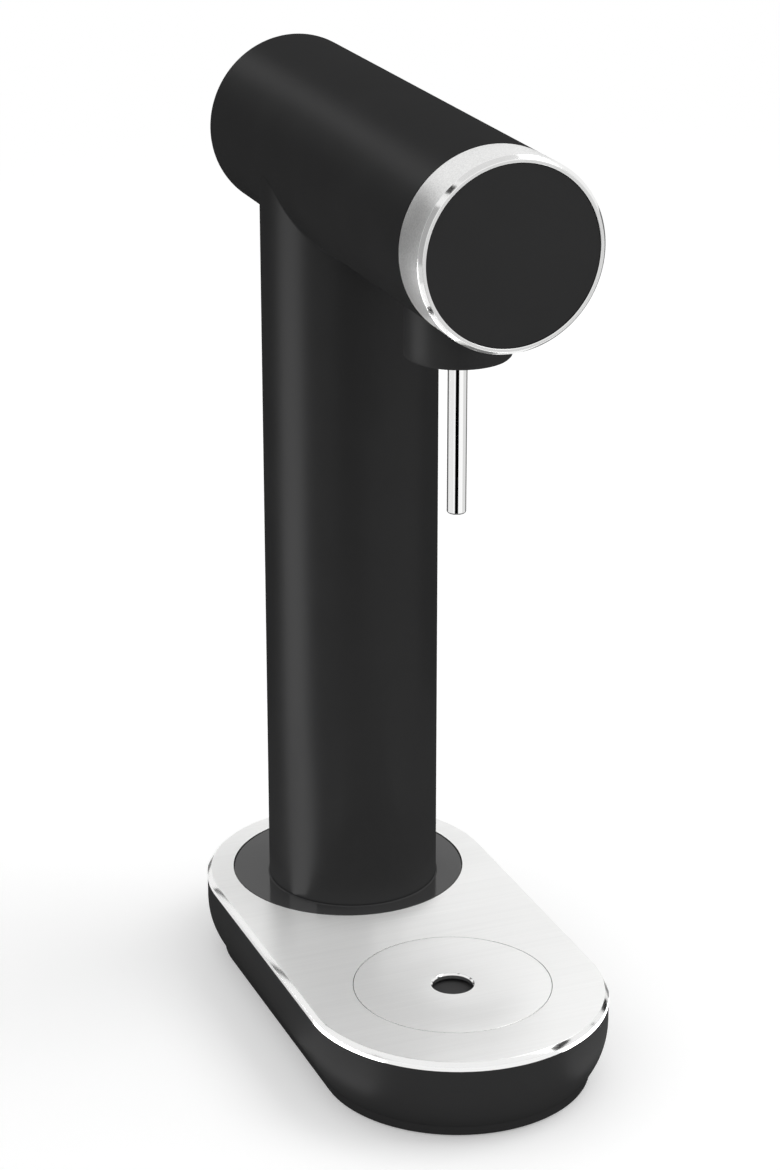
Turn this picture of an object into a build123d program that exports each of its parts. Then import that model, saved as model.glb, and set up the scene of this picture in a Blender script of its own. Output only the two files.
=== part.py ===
from build123d import *
import os
from math import asin, cos, degrees, radians, sin, sqrt

# Soda carbonator: a T-shaped body on a round-ended base.
# Frame: millimetres, Z up, front towards -Y, origin on the floor under the middle of the base.

# Driving dimensions of the base
BASE_WIDTH = 139.0
BASE_LENGTH = 273.0
BASE_HEIGHT = 41.0
DECK_THICKNESS = 4.0
DECK_BEVEL = 1.8
SHELL_WALL = 3.0
SHELL_WEB = 3.5
WALL_STRAIGHT = 10.0
WALL_CURVE_RADIUS = 36.0
LIP_HEIGHT = 5.5
SKIRT_INSET = 0.8
FOOT_STANDOFF = 0.8
FLOOR_SPIGOT = 2.5
FLOOR_FIT = 0.4
PAD_DIAMETER = 18.0
PAD_RECESS = 1.5
PAD_SIDE_MARGIN = 25.5
PAD_END_MARGIN = 56.5
BOSS_DIAMETER = 9.0
BOSS_MARGIN = 1.0

# Plinth disc around the column, coaster disc and drip tray under the bottle
PLINTH_DIAMETER = 111.6
PLINTH_REAR_MARGIN = 67.5
PLINTH_GAP = 0.3
PLINTH_SINK = 0.2
PLINTH_EDGE = 0.5
COASTER_DIAMETER = 90.0
COASTER_GAP = 0.35
COASTER_THICKNESS = 2.5
COASTER_EDGE = 0.3
FINGER_HOLE = 18.4
FINGER_HOLE_BEVEL = 0.8
TRAY_DIAMETER = 83.0
TRAY_WALL = 1.5
TRAY_FIT = 0.4
TRAY_FLOOR_GAP = 4.0
TRAY_STAND_DIAMETER = 26.0
TRAY_STAND_GAP = 1.5

# Column, its clamp and its rear access cover
COLUMN_DIAMETER = 81.2
COLUMN_WALL = 2.5
COLUMN_REAR_MARGIN = 74.0
COLUMN_FIT = 0.2
COLUMN_TAIL = 13.5
CLAMP_WIDTH = 9.25
CLAMP_HEIGHT = 11.5
CLAMP_SCREWS = 6
SET_SCREWS = 3
COVER_HALF_ANGLE = 66.0
COVER_GAP = 0.4
COVER_RISE = 5.0
COVER_NOTCH = 10.0
SILL_HALF_ANGLE = 55.0
SILL_DEPTH = 4.8
SILL_BELOW = 4.0
SILL_ABOVE = 8.0
SILL_DIP_HALF_ANGLE = 22.0
MAGNET_DIAMETER = 4.0
MAGNET_THICKNESS = 2.0
STRIKE_THICKNESS = 1.2
MAGNET_ANGLE = 40.0

# Head and knob
HEAD_DIAMETER = 82.0
HEAD_WALL = 2.5
HEAD_AXIS_HEIGHT = 396.5
HEAD_PORT = 72.0
SEAM_GAP = 0.1
CAP_THICKNESS = 3.0
CAP_EDGE = 1.2
CAP_SPIGOT = 10.0
CAP_SPIGOT_WALL = 2.8
INSERT_FIT = 0.2
KNOB_FRONT_MARGIN = 16.0
KNOB_DEPTH = 22.0
KNOB_GAP = 0.5
KNOB_DIAMETER = 82.0
KNOB_RIM_WIDTH = 1.5
KNOB_BEVEL_WIDTH = 1.4
KNOB_BEVEL_DEPTH = 2.0
FACE_GAP = 0.12
FACE_RECESS = 0.3
FACE_THICKNESS = 2.9
HUB_PLATE = 5.0
HUB_BOSS_DIAMETER = 20.0
HUB_RIM_WALL = 4.0
HUB_FIT = 0.2
RING_FLANGE_BORE = 65.0
RING_FLANGE_THICKNESS = 3.0
RING_FLANGE_SETBACK = 2.5
KNOB_SCREWS = 3
KNOB_TURN = 60.0
STOP_PIN_DIAMETER = 4.0
STOP_PIN_REACH = 25.0
STOP_CLEARANCE = 0.3

# Knob shaft, its bearings and the eccentric cam
SHAFT_DIAMETER = 8.0
RUNNING_FIT = 0.05
SLIP_FIT = 0.02
BULKHEAD_SETBACK = 3.0
BULKHEAD_THICKNESS = 6.0
BUSH_DIAMETER = 16.0
BUSH_FLANGE_DIAMETER = 22.0
BUSH_FLANGE = 2.0
BUSH_TAIL = 1.0
REAR_BEARING_SETBACK = 30.5
LIGHTENING_HOLE = 18.0
LIGHTENING_REACH = 24.0
SHAFT_TAIL = 3.0
CLIP_THICKNESS = 1.0
CLIP_DIAMETER = 14.0
CLIP_GROOVE_DEPTH = 0.8
CLIP_SLACK = 0.1
THRUST_GAP = 0.3
CAM_DIAMETER = 22.0
CAM_THROW = 3.0
CAM_WIDTH = 10.0
CAM_HUB_DIAMETER = 15.0
CAM_HUB_WIDTH = 8.0
CAM_GAP = 0.1
COLLAR_DIAMETER = 24.0
COLLAR_WIDTH = 7.0
RETURN_SPRING_DIAMETER = 18.0
RETURN_SPRING_WIRE = 1.6
RETURN_SPRING_TURNS = 5
RETURN_SPRING_LENGTH = 14.0
SPRING_SEAT_GAP = 0.15

# Gas cylinder, its valve and the valve block
CYLINDER_DIAMETER = 60.0
CYLINDER_WALL = 4.5
CYLINDER_SHOULDER = 22.0
CYLINDER_NECK_DIAMETER = 25.0
CYLINDER_NECK_BORE = 16.0
CYLINDER_NECK_LENGTH = 8.0
CYLINDER_FOOT_RADIUS = 6.0
CYLINDER_DROP = 12.0
CYLINDER_FLOOR_GAP = 1.0
VALVE_PLUG_LENGTH = 14.0
VALVE_COLLAR_DIAMETER = 25.0
VALVE_COLLAR_HEIGHT = 4.0
VALVE_COLLAR_GAP = 0.5
VALVE_THREAD_DIAMETER = 21.0
VALVE_THREAD_FIT = 0.3
VALVE_WELL_DIAMETER = 5.6
VALVE_WELL_DEPTH = 8.0
PIN_DIAMETER = 3.0
PIN_LENGTH = 10.0
PIN_RECESS = 2.0
PIN_GAP = 0.3
SEAL_THICKNESS = 2.0
SEAL_BORE = 10.4
BLOCK_DIAMETER = 36.0
BLOCK_FLANGE_DIAMETER = 51.0
BLOCK_FLANGE = 4.0
BLOCK_THREAD_LENGTH = 15.0
BLOCK_CHAMBER = 5.0
BLOCK_GUIDE = 7.0
BLOCK_SCREW_REACH = 22.0
BLOCK_SCREW_ANGLE = 25.0
BRACKET_THICKNESS = 5.0
BRACKET_SLOT = 28.0
PLUNGER_DIAMETER = 8.0
PLUNGER_TIP_DIAMETER = 4.0
PLUNGER_HEAD_DIAMETER = 15.0
PLUNGER_HEAD = 2.9
PLUNGER_STEM_ABOVE_BORE = 2.0
PLUNGER_SPRING_DIAMETER = 11.5
PLUNGER_SPRING_WIRE = 1.0
PLUNGER_SPRING_LENGTH = 8.0
PLUNGER_SPRING_TURNS = 3.5

# Bottle socket, injector, nozzle and relief valve
BOTTLE_FRONT_MARGIN = 73.0
SOCKET_DIAMETER = 46.0
SOCKET_BORE = 38.4
SOCKET_DROP = 16.0
SOCKET_ROOF = 4.0
SOCKET_EDGE = 0.8
SOCKET_FIT = 0.15
SOCKET_LUGS = 3
SOCKET_LUG_ANGLE = 30.0
SOCKET_LUG_DEPTH = 1.8
SOCKET_LUG_HEIGHT = 3.0
SOCKET_LUG_RISE = 2.5
BOTTLE_SEAL_THICKNESS = 4.0
BOTTLE_SEAL_BORE = 17.0
BOTTLE_SEAL_FIT = 0.2
PLATE_LENGTH = 48.0
PLATE_THICKNESS = 3.5
PLATE_OVERHANG = 0.2
PLATE_SEAT_GAP = 0.2
POST_DIAMETER = 8.0
POST_SIDE = 19.0
POST_FORE_AFT = 20.0
SOCKET_SCREW_REACH = 14.0
NOZZLE_DIAMETER = 8.4
NOZZLE_BORE = 5.2
NOZZLE_LENGTH = 70.5
NOZZLE_TIP_EDGE = 0.8
NOZZLE_FIT = 0.05
NUT_SIZE = 13.0
NUT_HEIGHT = 6.0
INJECTOR_DIAMETER = 20.0
INJECTOR_HEIGHT = 14.5
INJECTOR_BORE_DEPTH = 8.0
PORT_DIAMETER = 6.0
PORT_HEIGHT = 9.5
PORT_DEPTH = 5.0
FITTING_DIAMETER = 9.0
FITTING_LENGTH = 12.0
FITTING_SOCKET = 7.0
FITTING_STANDOFF = 0.5
OUTLET_DIAMETER = 4.6
TUBE_DIAMETER = 4.0
TUBE_STRAIGHT = 14.0
TUBE_BEND_RADIUS = 24.0
RELIEF_HEIGHT = 7.5
RELIEF_DIAMETER = 12.0
RELIEF_LENGTH = 15.0
RELIEF_BORE = 8.0
RELIEF_SEAT = 3.0
RELIEF_ORIFICE = 3.0
POPPET_LENGTH = 4.0
POPPET_TRAVEL = 1.5
RELIEF_CAP = 2.5
RELIEF_VENT = 2.0
RELIEF_SPRING_DIAMETER = 5.4
RELIEF_SPRING_WIRE = 0.7
RELIEF_SPRING_TURNS = 3.5

# Screws
SCREW_DIAMETER = 3.0
SCREW_HEAD_DIAMETER = 6.0
SCREW_HEAD = 2.0
SCREW_FIT = 0.05
SCREW_HEAD_FIT = 0.3
SCREW_SOCKET = 2.6
FLOOR_SCREW_LENGTH = 14.0
DECK_SCREW_GRIP = 2.6
DECK_REAR_SCREW_ANGLE = 25.0
DECK_FRONT_SCREW_ANGLE = 30.0
CLAMP_SCREW_BITE = 2.5
BLOCK_SCREW_BITE = 4.0
SOCKET_SCREW_BITE = 3.0
POST_SCREW_BITE = 4.0
KNOB_SCREW_BITE = 6.0
HUB_SCREW_BITE = 10.0
GRUB_DIAMETER = 3.0

# Directions in a level sketch, in degrees
REAR = 90.0
DOWN = -90.0

# Worked-out radii and levels of the base
base_r = BASE_WIDTH / 2
arc_y = BASE_LENGTH / 2 - base_r
plinth_y = BASE_LENGTH / 2 - PLINTH_REAR_MARGIN
column_y = BASE_LENGTH / 2 - COLUMN_REAR_MARGIN
bottle_y = BOTTLE_FRONT_MARGIN - BASE_LENGTH / 2
deck_bottom = BASE_HEIGHT - DECK_THICKNESS
web_bottom = deck_bottom - SHELL_WEB
bend_z = deck_bottom - WALL_STRAIGHT
bend_x = base_r - WALL_CURVE_RADIUS
inner_curve = WALL_CURVE_RADIUS - SHELL_WALL
lip_angle = degrees(asin((bend_z - LIP_HEIGHT) / WALL_CURVE_RADIUS))
lip_inner_angle = degrees(asin((bend_z - LIP_HEIGHT) / inner_curve))
lip_r = bend_x + WALL_CURVE_RADIUS * cos(radians(lip_angle))
lip_inner_r = bend_x + inner_curve * cos(radians(lip_inner_angle))
skirt_r = lip_r - SKIRT_INSET
floor_top = LIP_HEIGHT + FLOOR_SPIGOT
boss_reach = lip_inner_r - BOSS_DIAMETER / 2 - BOSS_MARGIN
boss_diagonal = boss_reach * sin(radians(45))
boss_points = [
    (boss_diagonal, arc_y + boss_diagonal),
    (-boss_diagonal, arc_y + boss_diagonal),
    (boss_diagonal, -arc_y - boss_diagonal),
    (-boss_diagonal, -arc_y - boss_diagonal),
    (boss_reach, 0),
    (-boss_reach, 0),
]
pad_x = base_r - PAD_SIDE_MARGIN
pad_y = BASE_LENGTH / 2 - PAD_END_MARGIN
pad_points = [(x, y) for x in (-pad_x, pad_x) for y in (-pad_y, pad_y)]

# Worked-out places of the plinth, coaster and tray
plinth_r = PLINTH_DIAMETER / 2
coaster_r = COASTER_DIAMETER / 2
tray_r = TRAY_DIAMETER / 2
coaster_bottom = BASE_HEIGHT - COASTER_THICKNESS
tray_bottom = floor_top + TRAY_FLOOR_GAP
stand_r = TRAY_STAND_DIAMETER / 2
stand_top = coaster_bottom - TRAY_STAND_GAP
plinth_rim_r = plinth_r + PLINTH_GAP + SCREW_HEAD_DIAMETER / 2
coaster_rim_r = (coaster_r + COASTER_GAP + base_r) / 2
deck_screw_points = [
    (side * x, y)
    for side in (-1, 1)
    for x, y in (
        (
            plinth_rim_r * sin(radians(DECK_REAR_SCREW_ANGLE)),
            plinth_y + plinth_rim_r * cos(radians(DECK_REAR_SCREW_ANGLE)),
        ),
        (coaster_rim_r, BOSS_DIAMETER + SCREW_HEAD_DIAMETER),
        (
            coaster_rim_r * cos(radians(DECK_FRONT_SCREW_ANGLE)),
            bottle_y - coaster_rim_r * sin(radians(DECK_FRONT_SCREW_ANGLE)),
        ),
    )
]

# Worked-out radii and levels of the column
column_r = COLUMN_DIAMETER / 2
column_bore_r = column_r - COLUMN_WALL
column_foot = web_bottom - COLUMN_TAIL
clamp_bore_r = column_r + COLUMN_FIT
clamp_r = clamp_bore_r + CLAMP_WIDTH
clamp_bottom = web_bottom - CLAMP_HEIGHT
clamp_pitch_r = clamp_bore_r + CLAMP_WIDTH / 2
window_bottom = BASE_HEIGHT + COVER_RISE
cover_bottom = window_bottom + COVER_GAP
insert_r = column_bore_r - COVER_GAP
sill_bottom = window_bottom - SILL_BELOW
sill_top = window_bottom + SILL_ABOVE

# Worked-out radii and places along the head
head_r = HEAD_DIAMETER / 2
head_bore_r = head_r - HEAD_WALL
head_rear = BASE_LENGTH / 2
tube_rear = head_rear - CAP_THICKNESS
knob_front = KNOB_FRONT_MARGIN - BASE_LENGTH / 2
knob_back = knob_front + KNOB_DEPTH
head_front = knob_back + KNOB_GAP
bulkhead_front = head_front + BULKHEAD_SETBACK
bulkhead_back = bulkhead_front + BULKHEAD_THICKNESS
bearing_back = head_rear - REAR_BEARING_SETBACK
bearing_front = bearing_back - BULKHEAD_THICKNESS
head_insert_r = head_bore_r - INSERT_FIT
shaft_r = SHAFT_DIAMETER / 2
bush_front = bulkhead_front - BUSH_FLANGE
clip_front = bearing_back + BUSH_FLANGE + THRUST_GAP
shaft_rear = clip_front + CLIP_THICKNESS + SHAFT_TAIL
groove_r = shaft_r - CLIP_GROOVE_DEPTH

# Worked-out places inside the knob
knob_r = KNOB_DIAMETER / 2
rim_outer_r = knob_r - KNOB_BEVEL_WIDTH
rim_inner_r = rim_outer_r - KNOB_RIM_WIDTH
face_r = rim_inner_r - FACE_GAP
face_front = knob_front + FACE_RECESS
hub_front = face_front + FACE_THICKNESS
hub_plate_back = hub_front + HUB_PLATE
flange_back = knob_back - RING_FLANGE_SETBACK
flange_front = flange_back - RING_FLANGE_THICKNESS
hub_r = rim_inner_r - HUB_FIT
stop_slot_r = STOP_PIN_DIAMETER / 2 + STOP_CLEARANCE
hub_boss_back = bush_front - THRUST_GAP
hub_screw_seat = hub_front + SCREW_HEAD + FACE_RECESS
shaft_front = hub_screw_seat + SCREW_HEAD
flange_bore_r = RING_FLANGE_BORE / 2

# Worked-out levels of the valve train, from the cam down
cam_side = CAM_THROW * cos(radians(KNOB_TURN / 2))
cam_lift = CAM_THROW * sin(radians(KNOB_TURN / 2))
cam_low = HEAD_AXIS_HEIGHT + cam_lift - CAM_DIAMETER / 2
plunger_top = cam_low - CAM_GAP
plunger_seat = plunger_top - PLUNGER_HEAD
block_top = plunger_seat - PLUNGER_SPRING_LENGTH
chamber_top = block_top - BLOCK_GUIDE
thread_top = chamber_top - BLOCK_CHAMBER
valve_top = thread_top - SEAL_THICKNESS
block_bottom = thread_top - BLOCK_THREAD_LENGTH
bracket_bottom = block_bottom - BRACKET_THICKNESS
collar_top = block_bottom - VALVE_COLLAR_GAP
collar_bottom = collar_top - VALVE_COLLAR_HEIGHT
cylinder_bottom = floor_top + CYLINDER_FLOOR_GAP + CYLINDER_DROP
shoulder_top = collar_bottom - CYLINDER_NECK_LENGTH
shoulder_bottom = shoulder_top - CYLINDER_SHOULDER
cylinder_r = CYLINDER_DIAMETER / 2
hollow_r = cylinder_r - CYLINDER_WALL
hollow_bottom = cylinder_bottom + CYLINDER_WALL
neck_r = CYLINDER_NECK_DIAMETER / 2
neck_bore_r = CYLINDER_NECK_BORE / 2
valve_thread_r = VALVE_THREAD_DIAMETER / 2
thread_bore_r = valve_thread_r + VALVE_THREAD_FIT
seal_bore_r = SEAL_BORE / 2
pin_top = valve_top - PIN_RECESS
plunger_tip = pin_top + PIN_GAP
outlet_z = (thread_top + chamber_top) / 2
magnet_upper_z = block_bottom - BRACKET_THICKNESS / 2
magnet_lower_z = (cover_bottom + sill_top) / 2
magnet_r = MAGNET_DIAMETER / 2

# Worked-out levels at the bottle
head_low = HEAD_AXIS_HEIGHT - head_r
socket_r = SOCKET_DIAMETER / 2
socket_bore_r = SOCKET_BORE / 2
socket_bottom = head_low - SOCKET_DROP
plate_half = socket_r + PLATE_OVERHANG
plate_bottom = HEAD_AXIS_HEIGHT - sqrt(head_bore_r ** 2 - plate_half ** 2) + PLATE_SEAT_GAP
plate_top = plate_bottom + PLATE_THICKNESS
socket_ceiling = plate_bottom - SOCKET_ROOF
bottle_seal_bottom = socket_ceiling - BOTTLE_SEAL_THICKNESS
nozzle_r = NOZZLE_DIAMETER / 2
nozzle_bottom = socket_bottom - NOZZLE_LENGTH
injector_r = INJECTOR_DIAMETER / 2
nozzle_top = plate_top + INJECTOR_BORE_DEPTH
inlet_z = plate_top + PORT_HEIGHT
relief_z = plate_top + RELIEF_HEIGHT
relief_face = injector_r + FITTING_STANDOFF
relief_end = relief_face + RELIEF_LENGTH
seat_x = relief_face + RELIEF_SEAT
relief_cap_x = relief_end - RELIEF_CAP
post_points = [(x, y) for x in (-POST_SIDE, POST_SIDE) for y in (-POST_FORE_AFT, POST_FORE_AFT)]
screw_r = SCREW_DIAMETER / 2
screw_hole_r = screw_r + SCREW_FIT
screw_head_r = SCREW_HEAD_DIAMETER / 2
knob_screw_r = rim_inner_r - screw_head_r - SCREW_HEAD_FIT
grub_r = GRUB_DIAMETER / 2


def column_plane(height):
    """Level plane centred on the column axis."""
    return Plane(origin=(0, column_y, height))


def bottle_plane(height, up=1):
    """Level plane centred on the bottle axis, facing up or down."""
    return Plane(origin=(0, bottle_y, height), x_dir=(1, 0, 0), z_dir=(0, 0, up))


def head_plane(y, toward=-1):
    """Upright plane centred on the head axis, facing the front or the rear."""
    return Plane(origin=(0, y, HEAD_AXIS_HEIGHT), x_dir=(-toward, 0, 0), z_dir=(0, toward, 0))


def rim_plane(angle, reach, height, facing=1):
    """Upright plane facing out from or in to the column axis, its angle counted from the rear."""
    ray = Vector(sin(radians(angle)), cos(radians(angle)), 0)
    origin = Vector(0, column_y, height) + ray * reach
    return Plane(origin=origin, x_dir=(0, 0, 1), z_dir=ray * facing)


def sector(middle, half_angle, reach, mode=Mode.ADD):
    """Wedge from the middle of the sketch, opening both ways from one direction."""
    with BuildLine() as wedge:
        rim = CenterArc((0, 0), reach, middle - half_angle, 2 * half_angle)
        Line((0, 0), rim @ 0)
        Line((0, 0), rim @ 1)
    make_face(wedge.edges(), mode=mode)


def screw_set(seats, grip):
    """Socket-head screws: each seat plane lies under a head and faces along its shank."""
    with BuildPart() as screws:
        for seat in seats:
            with BuildSketch(seat):
                Circle(screw_r)
            extrude(amount=grip)
            with BuildSketch(seat):
                Circle(screw_head_r)
            extrude(amount=-SCREW_HEAD)
            with BuildSketch(seat.offset(-SCREW_HEAD)):
                RegularPolygon(SCREW_SOCKET / 2, 6)
            extrude(amount=SCREW_HEAD / 2, mode=Mode.SUBTRACT)
    return screws


def screw_holes(seats, depth, radius=screw_hole_r):
    """Round holes along screw shanks, cut into the part being built."""
    for seat in seats:
        with BuildSketch(seat) as hole:
            Circle(radius)
        extrude(hole.sketch, amount=depth, mode=Mode.SUBTRACT)


def coil(seat, mean_radius, wire, length, turns):
    """Round-wire spring that fills a length along the seat plane's normal, short of both seats."""
    margin = SPRING_SEAT_GAP + wire / 2
    rise = length - 2 * margin
    start = seat.offset(margin).origin
    with BuildPart() as spring:
        with BuildLine():
            path = Helix(rise / turns, rise, mean_radius, center=start, direction=seat.z_dir)
        with BuildSketch(Plane(origin=path @ 0, z_dir=path % 0)):
            Circle(wire / 2)
        sweep(path=path, is_frenet=True)
    return spring


# Seat planes of the screws
floor_seats = [Plane(origin=(x, y, FOOT_STANDOFF + SCREW_HEAD)) for x, y in boss_points]
deck_seats = [Plane(origin=(x, y, web_bottom)) for x, y in deck_screw_points]
clamp_seats = [
    Plane(
        origin=(
            clamp_pitch_r * cos(radians(360 * i / CLAMP_SCREWS)),
            column_y + clamp_pitch_r * sin(radians(360 * i / CLAMP_SCREWS)),
            clamp_bottom,
        )
    )
    for i in range(CLAMP_SCREWS)
]
set_screw_seats = [
    rim_plane(180 + 360 * i / SET_SCREWS, clamp_r, (clamp_bottom + web_bottom) / 2, facing=-1)
    for i in range(SET_SCREWS)
]
block_seats = [
    Plane(
        origin=(
            side * BLOCK_SCREW_REACH * cos(radians(a)),
            column_y + BLOCK_SCREW_REACH * sin(radians(a)),
            block_bottom + BLOCK_FLANGE,
        ),
        x_dir=(1, 0, 0),
        z_dir=(0, 0, -1),
    )
    for side in (-1, 1)
    for a in (-BLOCK_SCREW_ANGLE, BLOCK_SCREW_ANGLE)
]
socket_seats = [
    Plane(
        origin=(
            SOCKET_SCREW_REACH * cos(radians(a)),
            bottle_y + SOCKET_SCREW_REACH * sin(radians(a)),
            plate_top,
        ),
        x_dir=(1, 0, 0),
        z_dir=(0, 0, -1),
    )
    for a in (45, 135, 225, 315)
]
post_seats = [
    Plane(origin=(x, y + bottle_y, plate_top), x_dir=(1, 0, 0), z_dir=(0, 0, -1)) for x, y in post_points
]
knob_seats = [
    Plane(
        origin=(
            knob_screw_r * sin(radians(360 * i / KNOB_SCREWS)),
            flange_back,
            HEAD_AXIS_HEIGHT + knob_screw_r * cos(radians(360 * i / KNOB_SCREWS)),
        ),
        x_dir=(1, 0, 0),
        z_dir=(0, -1, 0),
    )
    for i in range(KNOB_SCREWS)
]
hub_seats = [head_plane(hub_screw_seat, toward=1)]

# Base shell: moulded wall that turns under, a top web, bosses for the floor screws
with BuildPart() as base_shell:
    with BuildSketch(Plane.XZ) as shell_section:
        with BuildLine():
            Polyline((0, web_bottom), (0, deck_bottom), (base_r, deck_bottom), (base_r, bend_z))
            outer = CenterArc((bend_x, bend_z), WALL_CURVE_RADIUS, 0, -lip_angle)
            inner = CenterArc((bend_x, bend_z), inner_curve, -lip_inner_angle, lip_inner_angle)
            Line(outer @ 1, inner @ 0)
            Polyline(inner @ 1, (base_r - SHELL_WALL, web_bottom), (0, web_bottom))
        make_face()
    extrude(amount=arc_y, both=True)
    mirror(about=Plane.YZ)
    for end in (1, -1):
        turn = Axis((0, end * arc_y, 0), (0, 0, end))
        revolve(shell_section.sketch.moved(Location((0, end * arc_y, 0))), axis=turn, revolution_arc=180)
    with BuildSketch(Plane.XY.offset(floor_top)):
        with Locations(*boss_points):
            Circle(BOSS_DIAMETER / 2)
    extrude(amount=web_bottom - floor_top)
    with BuildSketch(column_plane(web_bottom)):
        Circle(clamp_bore_r)
    extrude(amount=SHELL_WEB, mode=Mode.SUBTRACT)
    with BuildSketch(bottle_plane(web_bottom)):
        Circle(tray_r + TRAY_FIT)
    extrude(amount=SHELL_WEB, mode=Mode.SUBTRACT)
    screw_holes(floor_seats, FLOOR_SCREW_LENGTH + SCREW_FIT)
    screw_holes(deck_seats, SHELL_WEB)
    screw_holes(clamp_seats, CLAMP_HEIGHT + SHELL_WEB)

# Base floor: skirt set back under the lip, spigot inside the shell, recesses for the pads
with BuildPart() as base_floor:
    with BuildSketch(Plane.XY.offset(FOOT_STANDOFF)):
        SlotCenterToCenter(2 * arc_y, 2 * skirt_r, rotation=90)
    extrude(amount=LIP_HEIGHT - FOOT_STANDOFF)
    with BuildSketch(Plane.XY.offset(LIP_HEIGHT)):
        SlotCenterToCenter(2 * arc_y, 2 * (lip_inner_r - FLOOR_FIT), rotation=90)
    extrude(amount=FLOOR_SPIGOT)
    with BuildSketch(Plane.XY.offset(FOOT_STANDOFF)):
        with Locations(*pad_points):
            Circle(PAD_DIAMETER / 2)
    extrude(amount=PAD_RECESS, mode=Mode.SUBTRACT)
    screw_holes(floor_seats, floor_top)
    screw_holes(floor_seats, -SCREW_HEAD, screw_head_r + SCREW_HEAD_FIT)

with BuildPart() as foot_pads:
    with BuildSketch(Plane.XY):
        with Locations(*pad_points):
            Circle(PAD_DIAMETER / 2 - SCREW_FIT)
    extrude(amount=FOOT_STANDOFF + PAD_RECESS)

floor_screws = screw_set(floor_seats, FLOOR_SCREW_LENGTH)

# Deck plate: bevelled steel top with a place for the plinth and one for the coaster
with BuildPart() as deck_plate:
    with BuildSketch(Plane.XY.offset(deck_bottom)):
        SlotCenterToCenter(2 * arc_y, BASE_WIDTH, rotation=90)
        with Locations((0, plinth_y)):
            Circle(plinth_r + PLINTH_GAP, mode=Mode.SUBTRACT)
        with Locations((0, bottle_y)):
            Circle(coaster_r + COASTER_GAP, mode=Mode.SUBTRACT)
    extrude(amount=DECK_THICKNESS)
    top_face = deck_plate.faces().sort_by(Axis.Z)[-1]
    chamfer(top_face.outer_wire().edges(), DECK_BEVEL)
    screw_holes(deck_seats, SHELL_WEB + DECK_SCREW_GRIP + SCREW_FIT)

deck_screws = screw_set(deck_seats, SHELL_WEB + DECK_SCREW_GRIP)

# Plinth disc: closes the deck around the foot of the column
with BuildPart() as plinth_disc:
    with BuildSketch(Plane.XY.offset(deck_bottom)):
        with Locations((0, plinth_y)):
            Circle(plinth_r)
        with Locations((0, column_y)):
            Circle(clamp_bore_r, mode=Mode.SUBTRACT)
    extrude(amount=DECK_THICKNESS - PLINTH_SINK)
    chamfer(plinth_disc.faces().sort_by(Axis.Z)[-1].outer_wire().edges(), PLINTH_EDGE)
    screw_holes(clamp_seats, CLAMP_HEIGHT + SHELL_WEB + CLAMP_SCREW_BITE + SCREW_FIT)

# Drip tray: cup whose rim rests on the shell, with a hollow stand under the hole of the coaster
with BuildPart() as drip_tray:
    with BuildSketch(bottle_plane(tray_bottom)):
        Circle(tray_r)
    extrude(amount=deck_bottom - tray_bottom)
    with BuildSketch(bottle_plane(deck_bottom)):
        Circle(coaster_r)
    extrude(amount=coaster_bottom - deck_bottom)
    with BuildSketch(bottle_plane(tray_bottom + TRAY_WALL)):
        Circle(tray_r - TRAY_WALL)
        Circle(stand_r, mode=Mode.SUBTRACT)
    extrude(amount=coaster_bottom - tray_bottom - TRAY_WALL, mode=Mode.SUBTRACT)
    with BuildSketch(bottle_plane(stand_top)):
        Circle(stand_r)
    extrude(amount=coaster_bottom - stand_top, mode=Mode.SUBTRACT)
    with BuildSketch(bottle_plane(tray_bottom)):
        Circle(stand_r - TRAY_WALL)
    extrude(amount=stand_top - TRAY_WALL - tray_bottom, mode=Mode.SUBTRACT)

with BuildPart() as coaster_disc:
    with BuildSketch(bottle_plane(coaster_bottom)):
        Circle(coaster_r)
        Circle(FINGER_HOLE / 2, mode=Mode.SUBTRACT)
    extrude(amount=COASTER_THICKNESS)
    coaster_top = coaster_disc.faces().sort_by(Axis.Z)[-1]
    chamfer(coaster_top.outer_wire().edges(), COASTER_EDGE)
    chamfer(coaster_top.inner_wires()[0].edges(), FINGER_HOLE_BEVEL)

# Column clamp: ring under the shell's web that grips the tail of the column
with BuildPart() as column_clamp:
    with BuildSketch(column_plane(clamp_bottom)):
        Circle(clamp_r)
        Circle(clamp_bore_r, mode=Mode.SUBTRACT)
    extrude(amount=CLAMP_HEIGHT)
    screw_holes(clamp_seats, CLAMP_HEIGHT)
    screw_holes(set_screw_seats, CLAMP_WIDTH + COLUMN_FIT)

clamp_screws = screw_set(clamp_seats, CLAMP_HEIGHT + SHELL_WEB + CLAMP_SCREW_BITE)
column_set_screws = screw_set(set_screw_seats, CLAMP_WIDTH + COLUMN_FIT + COLUMN_WALL)

# Column tube: saddle top under the head, open at the rear above the sill
with BuildPart() as column_tube:
    with BuildSketch(column_plane(column_foot)):
        Circle(column_r)
        Circle(column_bore_r, mode=Mode.SUBTRACT)
    extrude(amount=HEAD_AXIS_HEIGHT - column_foot)
    with BuildSketch(head_plane(head_rear)):
        Circle(head_r + SEAM_GAP)
    extrude(amount=BASE_LENGTH, mode=Mode.SUBTRACT)
    with BuildSketch(column_plane(window_bottom)):
        sector(REAR, COVER_HALF_ANGLE, COLUMN_DIAMETER)
    extrude(amount=HEAD_AXIS_HEIGHT, mode=Mode.SUBTRACT)
    screw_holes(set_screw_seats, CLAMP_WIDTH + COLUMN_FIT + 2 * COLUMN_WALL)

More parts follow.
